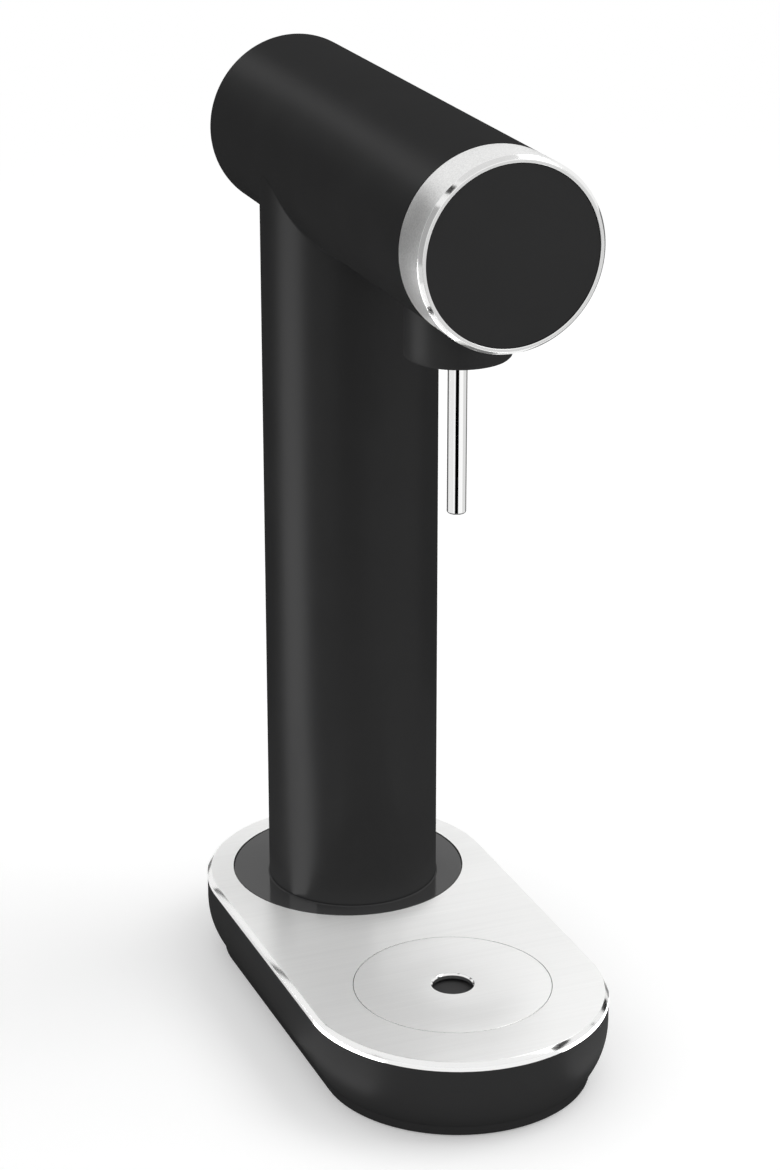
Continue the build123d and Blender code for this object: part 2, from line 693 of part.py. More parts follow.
# Rear cover: the column's missing rear arc, with a finger notch at its foot
cover_half_angle = COVER_HALF_ANGLE - degrees(COVER_GAP / column_bore_r)
strike_seats = [
    rim_plane(side * MAGNET_ANGLE, column_bore_r + COVER_GAP, z)
    for side in (-1, 1)
    for z in (magnet_lower_z, magnet_upper_z)
]
magnet_seats = [
    rim_plane(side * MAGNET_ANGLE, insert_r - COVER_GAP, z)
    for side in (-1, 1)
    for z in (magnet_lower_z, magnet_upper_z)
]

with BuildPart() as rear_cover:
    with BuildSketch(column_plane(cover_bottom)):
        Circle(column_r)
        Circle(column_bore_r, mode=Mode.SUBTRACT)
        sector(REAR, cover_half_angle, COLUMN_DIAMETER, Mode.INTERSECT)
    extrude(amount=HEAD_AXIS_HEIGHT - cover_bottom)
    with BuildSketch(head_plane(head_rear)):
        Circle(head_r + COVER_GAP)
    extrude(amount=BASE_LENGTH, mode=Mode.SUBTRACT)
    with BuildSketch(Plane(origin=(0, column_y, cover_bottom), x_dir=(-1, 0, 0), z_dir=(0, 1, 0))):
        Circle(COVER_NOTCH)
    extrude(amount=COLUMN_DIAMETER, mode=Mode.SUBTRACT)
    screw_holes(strike_seats, STRIKE_THICKNESS, magnet_r + SCREW_FIT)
    screw_holes(strike_seats, -2 * COVER_GAP, magnet_r + SCREW_FIT)

with BuildPart() as cover_strikes:
    for seat in strike_seats:
        with BuildSketch(seat):
            Circle(magnet_r)
        extrude(amount=STRIKE_THICKNESS)

with BuildPart() as cover_sill:
    with BuildSketch(column_plane(sill_bottom)):
        Circle(insert_r)
        Circle(insert_r - SILL_DEPTH, mode=Mode.SUBTRACT)
        sector(REAR, SILL_HALF_ANGLE, COLUMN_DIAMETER, Mode.INTERSECT)
    extrude(amount=sill_top - sill_bottom)
    with BuildSketch(column_plane((sill_bottom + window_bottom) / 2)):
        sector(REAR, SILL_DIP_HALF_ANGLE, COLUMN_DIAMETER)
    extrude(amount=sill_top, mode=Mode.SUBTRACT)
    screw_holes(magnet_seats, -MAGNET_THICKNESS, magnet_r + SCREW_FIT)
    screw_holes(magnet_seats, 2 * COVER_GAP, magnet_r + SCREW_FIT)

with BuildPart() as cover_magnets:
    for seat in magnet_seats:
        with BuildSketch(seat):
            Circle(magnet_r)
        extrude(amount=-MAGNET_THICKNESS)

# Valve bracket: disc across the column, slotted to the rear for the cylinder's neck
with BuildPart() as valve_bracket:
    with BuildSketch(column_plane(bracket_bottom)):
        Circle(insert_r)
        Circle(BRACKET_SLOT / 2, mode=Mode.SUBTRACT)
        with Locations((0, COLUMN_DIAMETER / 2)):
            Rectangle(BRACKET_SLOT, COLUMN_DIAMETER, mode=Mode.SUBTRACT)
    extrude(amount=BRACKET_THICKNESS)
    screw_holes(block_seats, BLOCK_FLANGE + BLOCK_SCREW_BITE + SCREW_FIT)
    screw_holes(magnet_seats, -MAGNET_THICKNESS, magnet_r + SCREW_FIT)
    screw_holes(magnet_seats, 2 * COVER_GAP, magnet_r + SCREW_FIT)

# Valve block: takes the cylinder's thread from below and guides the plunger
outlet_plane = Plane(origin=(0, column_y, outlet_z), x_dir=(1, 0, 0), z_dir=(0, -1, 0))

with BuildPart() as valve_block:
    with BuildSketch(column_plane(block_bottom)):
        Circle(BLOCK_FLANGE_DIAMETER / 2)
    extrude(amount=BLOCK_FLANGE)
    with BuildSketch(column_plane(block_bottom)):
        Circle(BLOCK_DIAMETER / 2)
    extrude(amount=block_top - block_bottom)
    with BuildSketch(column_plane(block_bottom)):
        Circle(thread_bore_r)
    extrude(amount=BLOCK_THREAD_LENGTH, mode=Mode.SUBTRACT)
    with BuildSketch(column_plane(thread_top)):
        Circle(seal_bore_r)
    extrude(amount=BLOCK_CHAMBER, mode=Mode.SUBTRACT)
    with BuildSketch(column_plane(chamber_top)):
        Circle(PLUNGER_DIAMETER / 2 + RUNNING_FIT)
    extrude(amount=BLOCK_GUIDE, mode=Mode.SUBTRACT)
    with BuildSketch(outlet_plane):
        Circle(OUTLET_DIAMETER / 2 + SCREW_FIT)
    extrude(amount=BLOCK_DIAMETER, mode=Mode.SUBTRACT)
    screw_holes(block_seats, BLOCK_FLANGE)

block_screws = screw_set(block_seats, BLOCK_FLANGE + BLOCK_SCREW_BITE)

with BuildPart() as cylinder_seal:
    with BuildSketch(column_plane(valve_top)):
        Circle(valve_thread_r)
        Circle(seal_bore_r, mode=Mode.SUBTRACT)
    extrude(amount=SEAL_THICKNESS)

# Gas cylinder: hollow bottle with a round shoulder, open at the neck for its valve
with BuildPart() as gas_cylinder:
    with BuildSketch(Plane.XZ.offset(-column_y)):
        with BuildLine():
            foot = (cylinder_r - CYLINDER_FOOT_RADIUS, cylinder_bottom)
            side = (cylinder_r, cylinder_bottom + CYLINDER_FOOT_RADIUS)
            Line((0, cylinder_bottom), foot)
            RadiusArc(foot, side, -CYLINDER_FOOT_RADIUS)
            Line(side, (cylinder_r, shoulder_bottom))
            Spline((cylinder_r, shoulder_bottom), (neck_r, shoulder_top), tangents=((0, 1), (0, 1)))
            Polyline((neck_r, shoulder_top), (neck_r, collar_bottom), (0, collar_bottom))
            Line((0, collar_bottom), (0, cylinder_bottom))
        make_face()
        with BuildLine():
            Polyline((0, hollow_bottom), (hollow_r, hollow_bottom), (hollow_r, shoulder_bottom))
            Spline((hollow_r, shoulder_bottom), (neck_bore_r, shoulder_top), tangents=((0, 1), (0, 1)))
            Polyline((neck_bore_r, shoulder_top), (neck_bore_r, collar_bottom), (0, collar_bottom))
            Line((0, collar_bottom), (0, hollow_bottom))
        make_face(mode=Mode.SUBTRACT)
    revolve(axis=Axis((0, column_y, 0), (0, 0, 1)))

# Cylinder valve: plug in the neck, collar, thread, and a well for the pin
with BuildPart() as cylinder_valve:
    with BuildSketch(column_plane(collar_bottom - VALVE_PLUG_LENGTH)):
        Circle(neck_bore_r - SLIP_FIT)
    extrude(amount=VALVE_PLUG_LENGTH)
    with BuildSketch(column_plane(collar_bottom)):
        RegularPolygon(VALVE_COLLAR_DIAMETER / 2, 6)
    extrude(amount=VALVE_COLLAR_HEIGHT)
    with BuildSketch(column_plane(collar_top)):
        Circle(valve_thread_r)
    extrude(amount=valve_top - collar_top)
    with BuildSketch(column_plane(valve_top)):
        Circle(VALVE_WELL_DIAMETER / 2)
    extrude(amount=-VALVE_WELL_DEPTH, mode=Mode.SUBTRACT)
    with BuildSketch(column_plane(pin_top)):
        Circle(PIN_DIAMETER / 2 + RUNNING_FIT)
    extrude(amount=-PIN_LENGTH - 2 * cam_lift - PIN_GAP, mode=Mode.SUBTRACT)

with BuildPart() as valve_pin:
    with BuildSketch(column_plane(pin_top)):
        Circle(PIN_DIAMETER / 2)
    extrude(amount=-PIN_LENGTH)

# Plunger: flat head under the cam, guided stem, thin tip over the valve pin
with BuildPart() as plunger:
    stem_bottom = thread_top + PLUNGER_STEM_ABOVE_BORE
    with BuildSketch(column_plane(plunger_tip)):
        Circle(PLUNGER_TIP_DIAMETER / 2)
    extrude(amount=stem_bottom - plunger_tip)
    with BuildSketch(column_plane(stem_bottom)):
        Circle(PLUNGER_DIAMETER / 2)
    extrude(amount=plunger_seat - stem_bottom)
    with BuildSketch(column_plane(plunger_seat)):
        Circle(PLUNGER_HEAD_DIAMETER / 2)
    extrude(amount=PLUNGER_HEAD)

plunger_spring = coil(
    column_plane(block_top), PLUNGER_SPRING_DIAMETER / 2, PLUNGER_SPRING_WIRE, PLUNGER_SPRING_LENGTH,
    PLUNGER_SPRING_TURNS,
)

# Posts under the socket plate, rooted in the wall of the head
with BuildPart() as socket_posts:
    with BuildSketch(bottle_plane(head_low)):
        with Locations(*post_points):
            Circle(POST_DIAMETER / 2)
    extrude(amount=plate_bottom - head_low)
    with BuildSketch(head_plane(tube_rear)):
        Circle(head_r - HEAD_WALL / 2)
    extrude(amount=tube_rear - head_front, mode=Mode.INTERSECT)

# Head tube: ports below for the column and the bottle socket, posts for the socket plate
with BuildPart() as head_tube:
    with BuildSketch(head_plane(tube_rear)):
        Circle(head_r)
    extrude(amount=tube_rear - head_front)
    with BuildSketch(head_plane(tube_rear)):
        Circle(head_bore_r)
    extrude(amount=tube_rear - head_front, mode=Mode.SUBTRACT)
    add(socket_posts.part)
    with BuildSketch(column_plane(HEAD_AXIS_HEIGHT)):
        Circle(HEAD_PORT / 2)
    extrude(amount=-HEAD_DIAMETER, mode=Mode.SUBTRACT)
    with BuildSketch(bottle_plane(HEAD_AXIS_HEIGHT)):
        Circle(socket_r + SOCKET_FIT)
    extrude(amount=-HEAD_DIAMETER, mode=Mode.SUBTRACT)
    screw_holes(post_seats, PLATE_THICKNESS + POST_SCREW_BITE + SCREW_FIT)

with BuildPart() as rear_cap:
    with BuildSketch(head_plane(head_rear)):
        Circle(head_r)
    extrude(amount=CAP_THICKNESS)
    fillet(rear_cap.faces().sort_by(Axis.Y)[-1].edges(), CAP_EDGE)
    with BuildSketch(head_plane(tube_rear)):
        Circle(head_insert_r)
        Circle(head_insert_r - CAP_SPIGOT_WALL, mode=Mode.SUBTRACT)
    extrude(amount=CAP_SPIGOT)

# Bulkhead and bearing plate that carry the shaft inside the head
with BuildPart() as front_bulkhead:
    with BuildSketch(head_plane(bulkhead_back)):
        Circle(head_insert_r)
        Circle(BUSH_DIAMETER / 2 + SLIP_FIT, mode=Mode.SUBTRACT)
        with Locations((0, -STOP_PIN_REACH)):
            Circle(STOP_PIN_DIAMETER / 2 + SLIP_FIT, mode=Mode.SUBTRACT)
    extrude(amount=BULKHEAD_THICKNESS)

with BuildPart() as rear_bearing_plate:
    with BuildSketch(head_plane(bearing_back)):
        Circle(head_insert_r)
        Circle(BUSH_DIAMETER / 2 + SLIP_FIT, mode=Mode.SUBTRACT)
        with PolarLocations(LIGHTENING_REACH, 4, start_angle=45):
            Circle(LIGHTENING_HOLE / 2, mode=Mode.SUBTRACT)
    extrude(amount=BULKHEAD_THICKNESS)


def flanged_bush(seat):
    """Plain bush: its flange lies behind the seat plane and its barrel in front of it."""
    with BuildPart() as bush:
        with BuildSketch(seat):
            Circle(BUSH_DIAMETER / 2)
            Circle(shaft_r + RUNNING_FIT, mode=Mode.SUBTRACT)
        extrude(amount=BULKHEAD_THICKNESS + BUSH_TAIL)
        with BuildSketch(seat):
            Circle(BUSH_FLANGE_DIAMETER / 2)
            Circle(shaft_r + RUNNING_FIT, mode=Mode.SUBTRACT)
        extrude(amount=-BUSH_FLANGE)
    return bush


front_bush = flanged_bush(head_plane(bulkhead_front, toward=1))
rear_bush = flanged_bush(head_plane(bearing_back))

with BuildPart() as stop_pin:
    with BuildSketch(head_plane(bulkhead_back)):
        with Locations((0, -STOP_PIN_REACH)):
            Circle(STOP_PIN_DIAMETER / 2)
    extrude(amount=bulkhead_back - hub_plate_back + HUB_PLATE / 2)

# Knob shaft with the groove for its clip and the hole for the hub screw
with BuildPart() as knob_shaft:
    with BuildSketch(head_plane(shaft_rear)):
        Circle(shaft_r)
    extrude(amount=shaft_rear - shaft_front)
    with BuildSketch(head_plane(clip_front + CLIP_THICKNESS + CLIP_SLACK)):
        Circle(shaft_r + RUNNING_FIT)
        Circle(groove_r, mode=Mode.SUBTRACT)
    extrude(amount=CLIP_THICKNESS + 2 * CLIP_SLACK, mode=Mode.SUBTRACT)
    screw_holes(hub_seats, SCREW_HEAD + HUB_SCREW_BITE + SCREW_FIT)

with BuildPart() as shaft_clip:
    with BuildSketch(head_plane(clip_front + CLIP_THICKNESS)):
        Circle(CLIP_DIAMETER / 2)
        Circle(groove_r + SLIP_FIT, mode=Mode.SUBTRACT)
        with Locations((0, -CLIP_DIAMETER / 2)):
            Rectangle(2 * groove_r - 2 * CLIP_GROOVE_DEPTH, CLIP_DIAMETER, mode=Mode.SUBTRACT)
    extrude(amount=CLIP_THICKNESS)

# Eccentric cam: halfway through the knob's turn its centre is level with the shaft
cam_back = column_y + CAM_WIDTH / 2
cam_screw_seat = Plane(
    origin=(0, cam_back + CAM_HUB_WIDTH / 2, HEAD_AXIS_HEIGHT + shaft_r + SCREW_FIT),
)
cam_screw_length = (CAM_HUB_DIAMETER - SHAFT_DIAMETER) / 2 - SCREW_FIT

with BuildPart() as cam:
    with BuildSketch(head_plane(cam_back)):
        with Locations((cam_side, cam_lift)):
            Circle(CAM_DIAMETER / 2)
    extrude(amount=CAM_WIDTH)
    with BuildSketch(head_plane(cam_back + CAM_HUB_WIDTH)):
        Circle(CAM_HUB_DIAMETER / 2)
    extrude(amount=CAM_HUB_WIDTH)
    with BuildSketch(head_plane(cam_back + CAM_HUB_WIDTH)):
        Circle(shaft_r + SLIP_FIT)
    extrude(amount=CAM_HUB_WIDTH + CAM_WIDTH, mode=Mode.SUBTRACT)
    screw_holes([cam_screw_seat], CAM_HUB_DIAMETER, grub_r + SCREW_FIT)

with BuildPart() as cam_screw:
    with BuildSketch(cam_screw_seat):
        Circle(grub_r)
    extrude(amount=cam_screw_length)

# Spring collar and the return spring in front of it
collar_front = bulkhead_back + RETURN_SPRING_LENGTH
collar_back = collar_front + COLLAR_WIDTH
collar_screw_seat = Plane(
    origin=(0, (collar_front + collar_back) / 2, HEAD_AXIS_HEIGHT + shaft_r + SCREW_FIT),
)
collar_screw_length = (COLLAR_DIAMETER - SHAFT_DIAMETER) / 2 - SCREW_FIT

with BuildPart() as spring_collar:
    with BuildSketch(head_plane(collar_back)):
        Circle(COLLAR_DIAMETER / 2)
        Circle(shaft_r + SLIP_FIT, mode=Mode.SUBTRACT)
    extrude(amount=COLLAR_WIDTH)
    screw_holes([collar_screw_seat], COLLAR_DIAMETER, grub_r + SCREW_FIT)

with BuildPart() as collar_screw:
    with BuildSketch(collar_screw_seat):
        Circle(grub_r)
    extrude(amount=collar_screw_length)

return_spring = coil(
    head_plane(bulkhead_back, toward=1), RETURN_SPRING_DIAMETER / 2, RETURN_SPRING_WIRE,
    RETURN_SPRING_LENGTH, RETURN_SPRING_TURNS,
)

# Knob: steel ring with a bevelled rim, black face, hub with the slot for the stop pin
with BuildPart() as knob_ring:
    with BuildSketch(Plane.YZ) as ring_section:
        with BuildLine():
            Polyline(
                (knob_front, HEAD_AXIS_HEIGHT + rim_inner_r),
                (knob_front, HEAD_AXIS_HEIGHT + rim_outer_r),
                (knob_front + KNOB_BEVEL_DEPTH, HEAD_AXIS_HEIGHT + knob_r),
                (knob_back, HEAD_AXIS_HEIGHT + knob_r),
                (knob_back, HEAD_AXIS_HEIGHT + rim_inner_r),
                (flange_back, HEAD_AXIS_HEIGHT + rim_inner_r),
                (flange_back, HEAD_AXIS_HEIGHT + flange_bore_r),
                (flange_front, HEAD_AXIS_HEIGHT + flange_bore_r),
                (flange_front, HEAD_AXIS_HEIGHT + rim_inner_r),
                close=True,
            )
        make_face()
    revolve(axis=Axis((0, 0, HEAD_AXIS_HEIGHT), (0, 1, 0)))
    screw_holes(knob_seats, RING_FLANGE_THICKNESS)

with BuildPart() as knob_face:
    with BuildSketch(head_plane(hub_front)):
        Circle(face_r)
    extrude(amount=FACE_THICKNESS)

with BuildPart() as knob_hub:
    with BuildSketch(head_plane(hub_plate_back)):
        Circle(hub_r)
    extrude(amount=HUB_PLATE)
    with BuildSketch(head_plane(flange_front)):
        Circle(hub_r)
        Circle(hub_r - HUB_RIM_WALL - SCREW_DIAMETER, mode=Mode.SUBTRACT)
    extrude(amount=flange_front - hub_plate_back)
    with BuildSketch(head_plane(hub_boss_back)):
        Circle(HUB_BOSS_DIAMETER / 2)
    extrude(amount=hub_boss_back - hub_plate_back)
    with BuildSketch(head_plane(hub_boss_back)):
        Circle(shaft_r + SLIP_FIT)
    extrude(amount=hub_boss_back - shaft_front, mode=Mode.SUBTRACT)
    with BuildSketch(head_plane(hub_plate_back)):
        sector(DOWN + KNOB_TURN / 2, KNOB_TURN / 2, STOP_PIN_REACH + stop_slot_r)
        Circle(STOP_PIN_REACH - stop_slot_r, mode=Mode.SUBTRACT)
        with PolarLocations(STOP_PIN_REACH, 2, start_angle=DOWN, angular_range=KNOB_TURN, endpoint=True):
            Circle(stop_slot_r)
    extrude(amount=HUB_PLATE / 2 + STOP_CLEARANCE, mode=Mode.SUBTRACT)
    screw_holes(knob_seats, RING_FLANGE_THICKNESS + KNOB_SCREW_BITE + SCREW_FIT)
    screw_holes(hub_seats, SCREW_HEAD)
    screw_holes(hub_seats, hub_front - hub_screw_seat, screw_head_r + SCREW_HEAD_FIT)

knob_screws = screw_set(knob_seats, RING_FLANGE_THICKNESS + KNOB_SCREW_BITE)
hub_screw = screw_set(hub_seats, SCREW_HEAD + HUB_SCREW_BITE)

# Bottle socket: black collar under the head, with lugs for the bottle's thread
with BuildPart() as bottle_socket:
    with BuildSketch(bottle_plane(socket_bottom)):
        Circle(socket_r)
    extrude(amount=plate_bottom - socket_bottom)
    with BuildSketch(bottle_plane(socket_bottom)):
        Circle(socket_bore_r)
    extrude(amount=socket_ceiling - socket_bottom, mode=Mode.SUBTRACT)
    chamfer(bottle_socket.faces().sort_by(Axis.Z)[0].edges(), SOCKET_EDGE)
    with BuildSketch(bottle_plane(socket_bottom + SOCKET_LUG_RISE)):
        for i in range(SOCKET_LUGS):
            sector(360 * i / SOCKET_LUGS, SOCKET_LUG_ANGLE / 2, (socket_bore_r + socket_r) / 2)
        Circle(socket_bore_r - SOCKET_LUG_DEPTH, mode=Mode.SUBTRACT)
    extrude(amount=SOCKET_LUG_HEIGHT)
    with BuildSketch(bottle_plane(socket_ceiling)):
        Circle(nozzle_r + NOZZLE_FIT)
    extrude(amount=SOCKET_ROOF, mode=Mode.SUBTRACT)
    screw_holes(socket_seats, PLATE_THICKNESS + SOCKET_SCREW_BITE + SCREW_FIT)

with BuildPart() as bottle_seal:
    with BuildSketch(bottle_plane(bottle_seal_bottom)):
        Circle(socket_bore_r - BOTTLE_SEAL_FIT)
        Circle(BOTTLE_SEAL_BORE / 2, mode=Mode.SUBTRACT)
    extrude(amount=BOTTLE_SEAL_THICKNESS)

# Socket plate: flat bridge in the head that carries the socket and the injector
with BuildPart() as socket_plate:
    with BuildSketch(bottle_plane(plate_bottom)):
        Rectangle(2 * plate_half, PLATE_LENGTH)
        Circle(nozzle_r + NOZZLE_FIT, mode=Mode.SUBTRACT)
    extrude(amount=PLATE_THICKNESS)
    screw_holes(socket_seats, PLATE_THICKNESS)
    screw_holes(post_seats, PLATE_THICKNESS)

socket_screws = screw_set(socket_seats, PLATE_THICKNESS + SOCKET_SCREW_BITE)
plate_screws = screw_set(post_seats, PLATE_THICKNESS + POST_SCREW_BITE)

# Injector on the plate: nozzle seat below, gas inlet at the rear, relief valve at the side
inlet_plane = Plane(origin=(0, bottle_y, inlet_z), x_dir=(-1, 0, 0), z_dir=(0, 1, 0))
relief_plane = Plane(origin=(0, bottle_y, relief_z), x_dir=(0, 1, 0), z_dir=(1, 0, 0))

with BuildPart() as injector:
    with BuildSketch(bottle_plane(plate_top)):
        Circle(injector_r)
    extrude(amount=INJECTOR_HEIGHT)
    with BuildSketch(bottle_plane(plate_top)):
        Circle(nozzle_r + NOZZLE_FIT)
    extrude(amount=INJECTOR_BORE_DEPTH, mode=Mode.SUBTRACT)
    with BuildSketch(bottle_plane(nozzle_top)):
        Circle(NOZZLE_BORE / 2)
    extrude(amount=inlet_z - nozzle_top, mode=Mode.SUBTRACT)
    for port in (inlet_plane, relief_plane):
        with BuildSketch(port):
            Circle(TUBE_DIAMETER / 4)
        extrude(amount=injector_r, mode=Mode.SUBTRACT)
        with BuildSketch(port.offset(injector_r - PORT_DEPTH)):
            Circle(PORT_DIAMETER / 2 + SCREW_FIT)
        extrude(amount=PORT_DEPTH, mode=Mode.SUBTRACT)

with BuildPart() as nozzle_tube:
    with BuildSketch(bottle_plane(nozzle_bottom)):
        Circle(nozzle_r)
    extrude(amount=nozzle_top - nozzle_bottom)
    fillet(nozzle_tube.faces().sort_by(Axis.Z)[0].edges(), NOZZLE_TIP_EDGE)
    with BuildSketch(bottle_plane(nozzle_bottom)):
        Circle(NOZZLE_BORE / 2)
    extrude(amount=nozzle_top - nozzle_bottom, mode=Mode.SUBTRACT)

with BuildPart() as nozzle_nut:
    with BuildSketch(bottle_plane(socket_ceiling - NUT_HEIGHT)):
        RegularPolygon(NUT_SIZE / 2, 6, major_radius=False)
        Circle(nozzle_r + NOZZLE_FIT, mode=Mode.SUBTRACT)
    extrude(amount=NUT_HEIGHT)


def hose_fitting(plane, body_radius, spigot_radius, spigot_depth):
    """Straight fitting that leaves a round body along the plane's normal."""
    shoulder = body_radius + FITTING_STANDOFF
    with BuildPart() as fitting:
        with BuildSketch(plane.offset(body_radius - spigot_depth)):
            Circle(spigot_radius)
        extrude(amount=spigot_depth + FITTING_STANDOFF)
        with BuildSketch(plane.offset(shoulder)):
            Circle(FITTING_DIAMETER / 2)
        extrude(amount=FITTING_LENGTH)
        with BuildSketch(plane.offset(shoulder + FITTING_LENGTH)):
            Circle(TUBE_DIAMETER / 2 + SCREW_FIT)
        extrude(amount=-FITTING_SOCKET, mode=Mode.SUBTRACT)
        with BuildSketch(plane.offset(body_radius - spigot_depth)):
            Circle(TUBE_DIAMETER / 4)
        extrude(amount=FITTING_LENGTH + spigot_depth, mode=Mode.SUBTRACT)
    return fitting


inlet_fitting = hose_fitting(inlet_plane, injector_r, PORT_DIAMETER / 2, PORT_DEPTH)
outlet_fitting = hose_fitting(outlet_plane, BLOCK_DIAMETER / 2, OUTLET_DIAMETER / 2, PORT_DEPTH)

# Gas tube between the two fittings, straight at both ends
tube_reach = FITTING_STANDOFF + FITTING_LENGTH - FITTING_SOCKET
tube_start = Vector(0, column_y - BLOCK_DIAMETER / 2 - tube_reach, outlet_z)
tube_end = Vector(0, bottle_y + injector_r + tube_reach, inlet_z)
with BuildPart() as gas_tube:
    with BuildLine() as tube_route:
        FilletPolyline(
            tube_start,
            tube_start - Vector(0, FITTING_SOCKET + TUBE_STRAIGHT, 0),
            tube_end + Vector(0, FITTING_SOCKET + TUBE_STRAIGHT, 0),
            tube_end,
            radius=TUBE_BEND_RADIUS,
        )
    with BuildSketch(Plane(origin=tube_start, z_dir=(0, -1, 0))):
        Circle(TUBE_DIAMETER / 2)
        Circle(TUBE_DIAMETER / 4, mode=Mode.SUBTRACT)
    sweep(path=tube_route.line)

# Relief valve: body in the injector's side port, sprung poppet, vented cap
with BuildPart() as relief_valve_body:
    with BuildSketch(relief_plane.offset(injector_r - PORT_DEPTH)):
        Circle(PORT_DIAMETER / 2)
    extrude(amount=PORT_DEPTH + FITTING_STANDOFF)
    with BuildSketch(relief_plane.offset(relief_face)):
        Circle(RELIEF_DIAMETER / 2)
    extrude(amount=RELIEF_LENGTH)
    with BuildSketch(relief_plane.offset(seat_x)):
        Circle(RELIEF_BORE / 2)
    extrude(amount=relief_end - seat_x, mode=Mode.SUBTRACT)
    with BuildSketch(relief_plane.offset(injector_r - PORT_DEPTH)):
        Circle(RELIEF_ORIFICE / 2)
    extrude(amount=seat_x - injector_r + PORT_DEPTH, mode=Mode.SUBTRACT)

with BuildPart() as relief_poppet:
    with BuildSketch(relief_plane.offset(seat_x)):
        Circle(RELIEF_BORE / 2 - RUNNING_FIT)
    extrude(amount=POPPET_LENGTH)

with BuildPart() as relief_cap:
    with BuildSketch(relief_plane.offset(relief_cap_x)):
        Circle(RELIEF_BORE / 2 - SLIP_FIT)
        Circle(RELIEF_VENT / 2, mode=Mode.SUBTRACT)
    extrude(amount=RELIEF_CAP)

relief_spring = coil(
    relief_plane.offset(seat_x + POPPET_LENGTH), RELIEF_SPRING_DIAMETER / 2, RELIEF_SPRING_WIRE,
    relief_cap_x - seat_x - POPPET_LENGTH, RELIEF_SPRING_TURNS,
)

pieces = {
    "base_shell": base_shell,
    "base_floor": base_floor,
    "foot_pads": foot_pads,
    "floor_screws": floor_screws,
    "deck_plate": deck_plate,
    "deck_screws": deck_screws,
    "plinth_disc": plinth_disc,
    "drip_tray": drip_tray,
    "coaster_disc": coaster_disc,
    "column_clamp": column_clamp,
    "clamp_screws": clamp_screws,
    "column_set_screws": column_set_screws,
    "column_tube": column_tube,
    "rear_cover": rear_cover,
    "cover_strikes": cover_strikes,
    "cover_sill": cover_sill,
    "cover_magnets": cover_magnets,
    "valve_bracket": valve_bracket,
    "valve_block": valve_block,
    "block_screws": block_screws,
    "cylinder_seal": cylinder_seal,
    "gas_cylinder": gas_cylinder,
    "cylinder_valve": cylinder_valve,
    "valve_pin": valve_pin,
    "plunger": plunger,
    "plunger_spring": plunger_spring,
    "head_tube": head_tube,
    "rear_cap": rear_cap,
    "front_bulkhead": front_bulkhead,
    "rear_bearing_plate": rear_bearing_plate,
    "front_bush": front_bush,
    "rear_bush": rear_bush,
    "stop_pin": stop_pin,
    "knob_shaft": knob_shaft,
    "shaft_clip": shaft_clip,
    "cam": cam,
    "cam_screw": cam_screw,
    "spring_collar": spring_collar,
    "collar_screw": collar_screw,
    "return_spring": return_spring,
    "knob_ring": knob_ring,
    "knob_face": knob_face,
    "knob_hub": knob_hub,
    "knob_screws": knob_screws,
    "hub_screw": hub_screw,
    "bottle_socket": bottle_socket,
    "bottle_seal": bottle_seal,
    "socket_plate": socket_plate,
    "socket_screws": socket_screws,
    "plate_screws": plate_screws,
    "injector": injector,
    "nozzle_tube": nozzle_tube,
    "nozzle_nut": nozzle_nut,
    "inlet_fitting": inlet_fitting,
    "outlet_fitting": outlet_fitting,
    "gas_tube": gas_tube,
    "relief_valve_body": relief_valve_body,
    "relief_poppet": relief_poppet,
    "relief_cap": relief_cap,
    "relief_spring": relief_spring,
}

os.makedirs("parts", exist_ok=True)
for name, piece in pieces.items():
    piece.part.label = name
    export_step(piece.part, f"parts/{name}.step")
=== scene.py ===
"""Looks of a T-shaped soda carbonator: fine edges, finishes, studio and camera around its frame."""

from __future__ import annotations

import logging
import math
from abc import ABC, abstractmethod
from dataclasses import dataclass, replace
from enum import Enum, IntEnum
from typing import Sequence, Union

import bmesh
import bpy
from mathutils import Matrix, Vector

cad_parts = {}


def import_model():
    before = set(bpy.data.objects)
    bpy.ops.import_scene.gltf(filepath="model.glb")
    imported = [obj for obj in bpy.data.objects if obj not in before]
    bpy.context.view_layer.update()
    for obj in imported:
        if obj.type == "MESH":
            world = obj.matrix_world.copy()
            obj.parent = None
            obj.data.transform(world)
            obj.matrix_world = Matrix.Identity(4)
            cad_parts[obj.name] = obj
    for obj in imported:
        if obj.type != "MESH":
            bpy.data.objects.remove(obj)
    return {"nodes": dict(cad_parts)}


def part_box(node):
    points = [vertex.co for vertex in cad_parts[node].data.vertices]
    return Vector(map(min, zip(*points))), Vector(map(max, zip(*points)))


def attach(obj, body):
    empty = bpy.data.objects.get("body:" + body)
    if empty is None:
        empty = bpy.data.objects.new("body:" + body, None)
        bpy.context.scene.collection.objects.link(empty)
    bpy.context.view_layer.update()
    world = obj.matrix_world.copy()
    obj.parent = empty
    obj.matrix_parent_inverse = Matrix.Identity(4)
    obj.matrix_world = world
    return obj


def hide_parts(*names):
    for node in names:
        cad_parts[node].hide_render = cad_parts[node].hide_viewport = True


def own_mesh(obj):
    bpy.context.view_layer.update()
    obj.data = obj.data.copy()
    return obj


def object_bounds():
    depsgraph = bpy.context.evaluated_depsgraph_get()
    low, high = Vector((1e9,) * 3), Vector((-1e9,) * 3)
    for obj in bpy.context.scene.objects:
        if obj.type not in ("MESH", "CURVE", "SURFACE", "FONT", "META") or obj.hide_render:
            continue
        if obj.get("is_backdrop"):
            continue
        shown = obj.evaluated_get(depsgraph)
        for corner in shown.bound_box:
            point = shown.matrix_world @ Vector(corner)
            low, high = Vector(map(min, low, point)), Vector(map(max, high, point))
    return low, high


LOG = logging.getLogger("carbonator")
MM = 0.001
WHITE = (1.0, 1.0, 1.0, 1.0)
HALF_TONE = 0.5
CLOUD_DETAIL = 4.0
ARC_STEPS = 4
FLAT_TOLERANCE = 0.001
SHARP_ANGLE = math.radians(32.0)
BOTH_SIDES = (-1, 1)

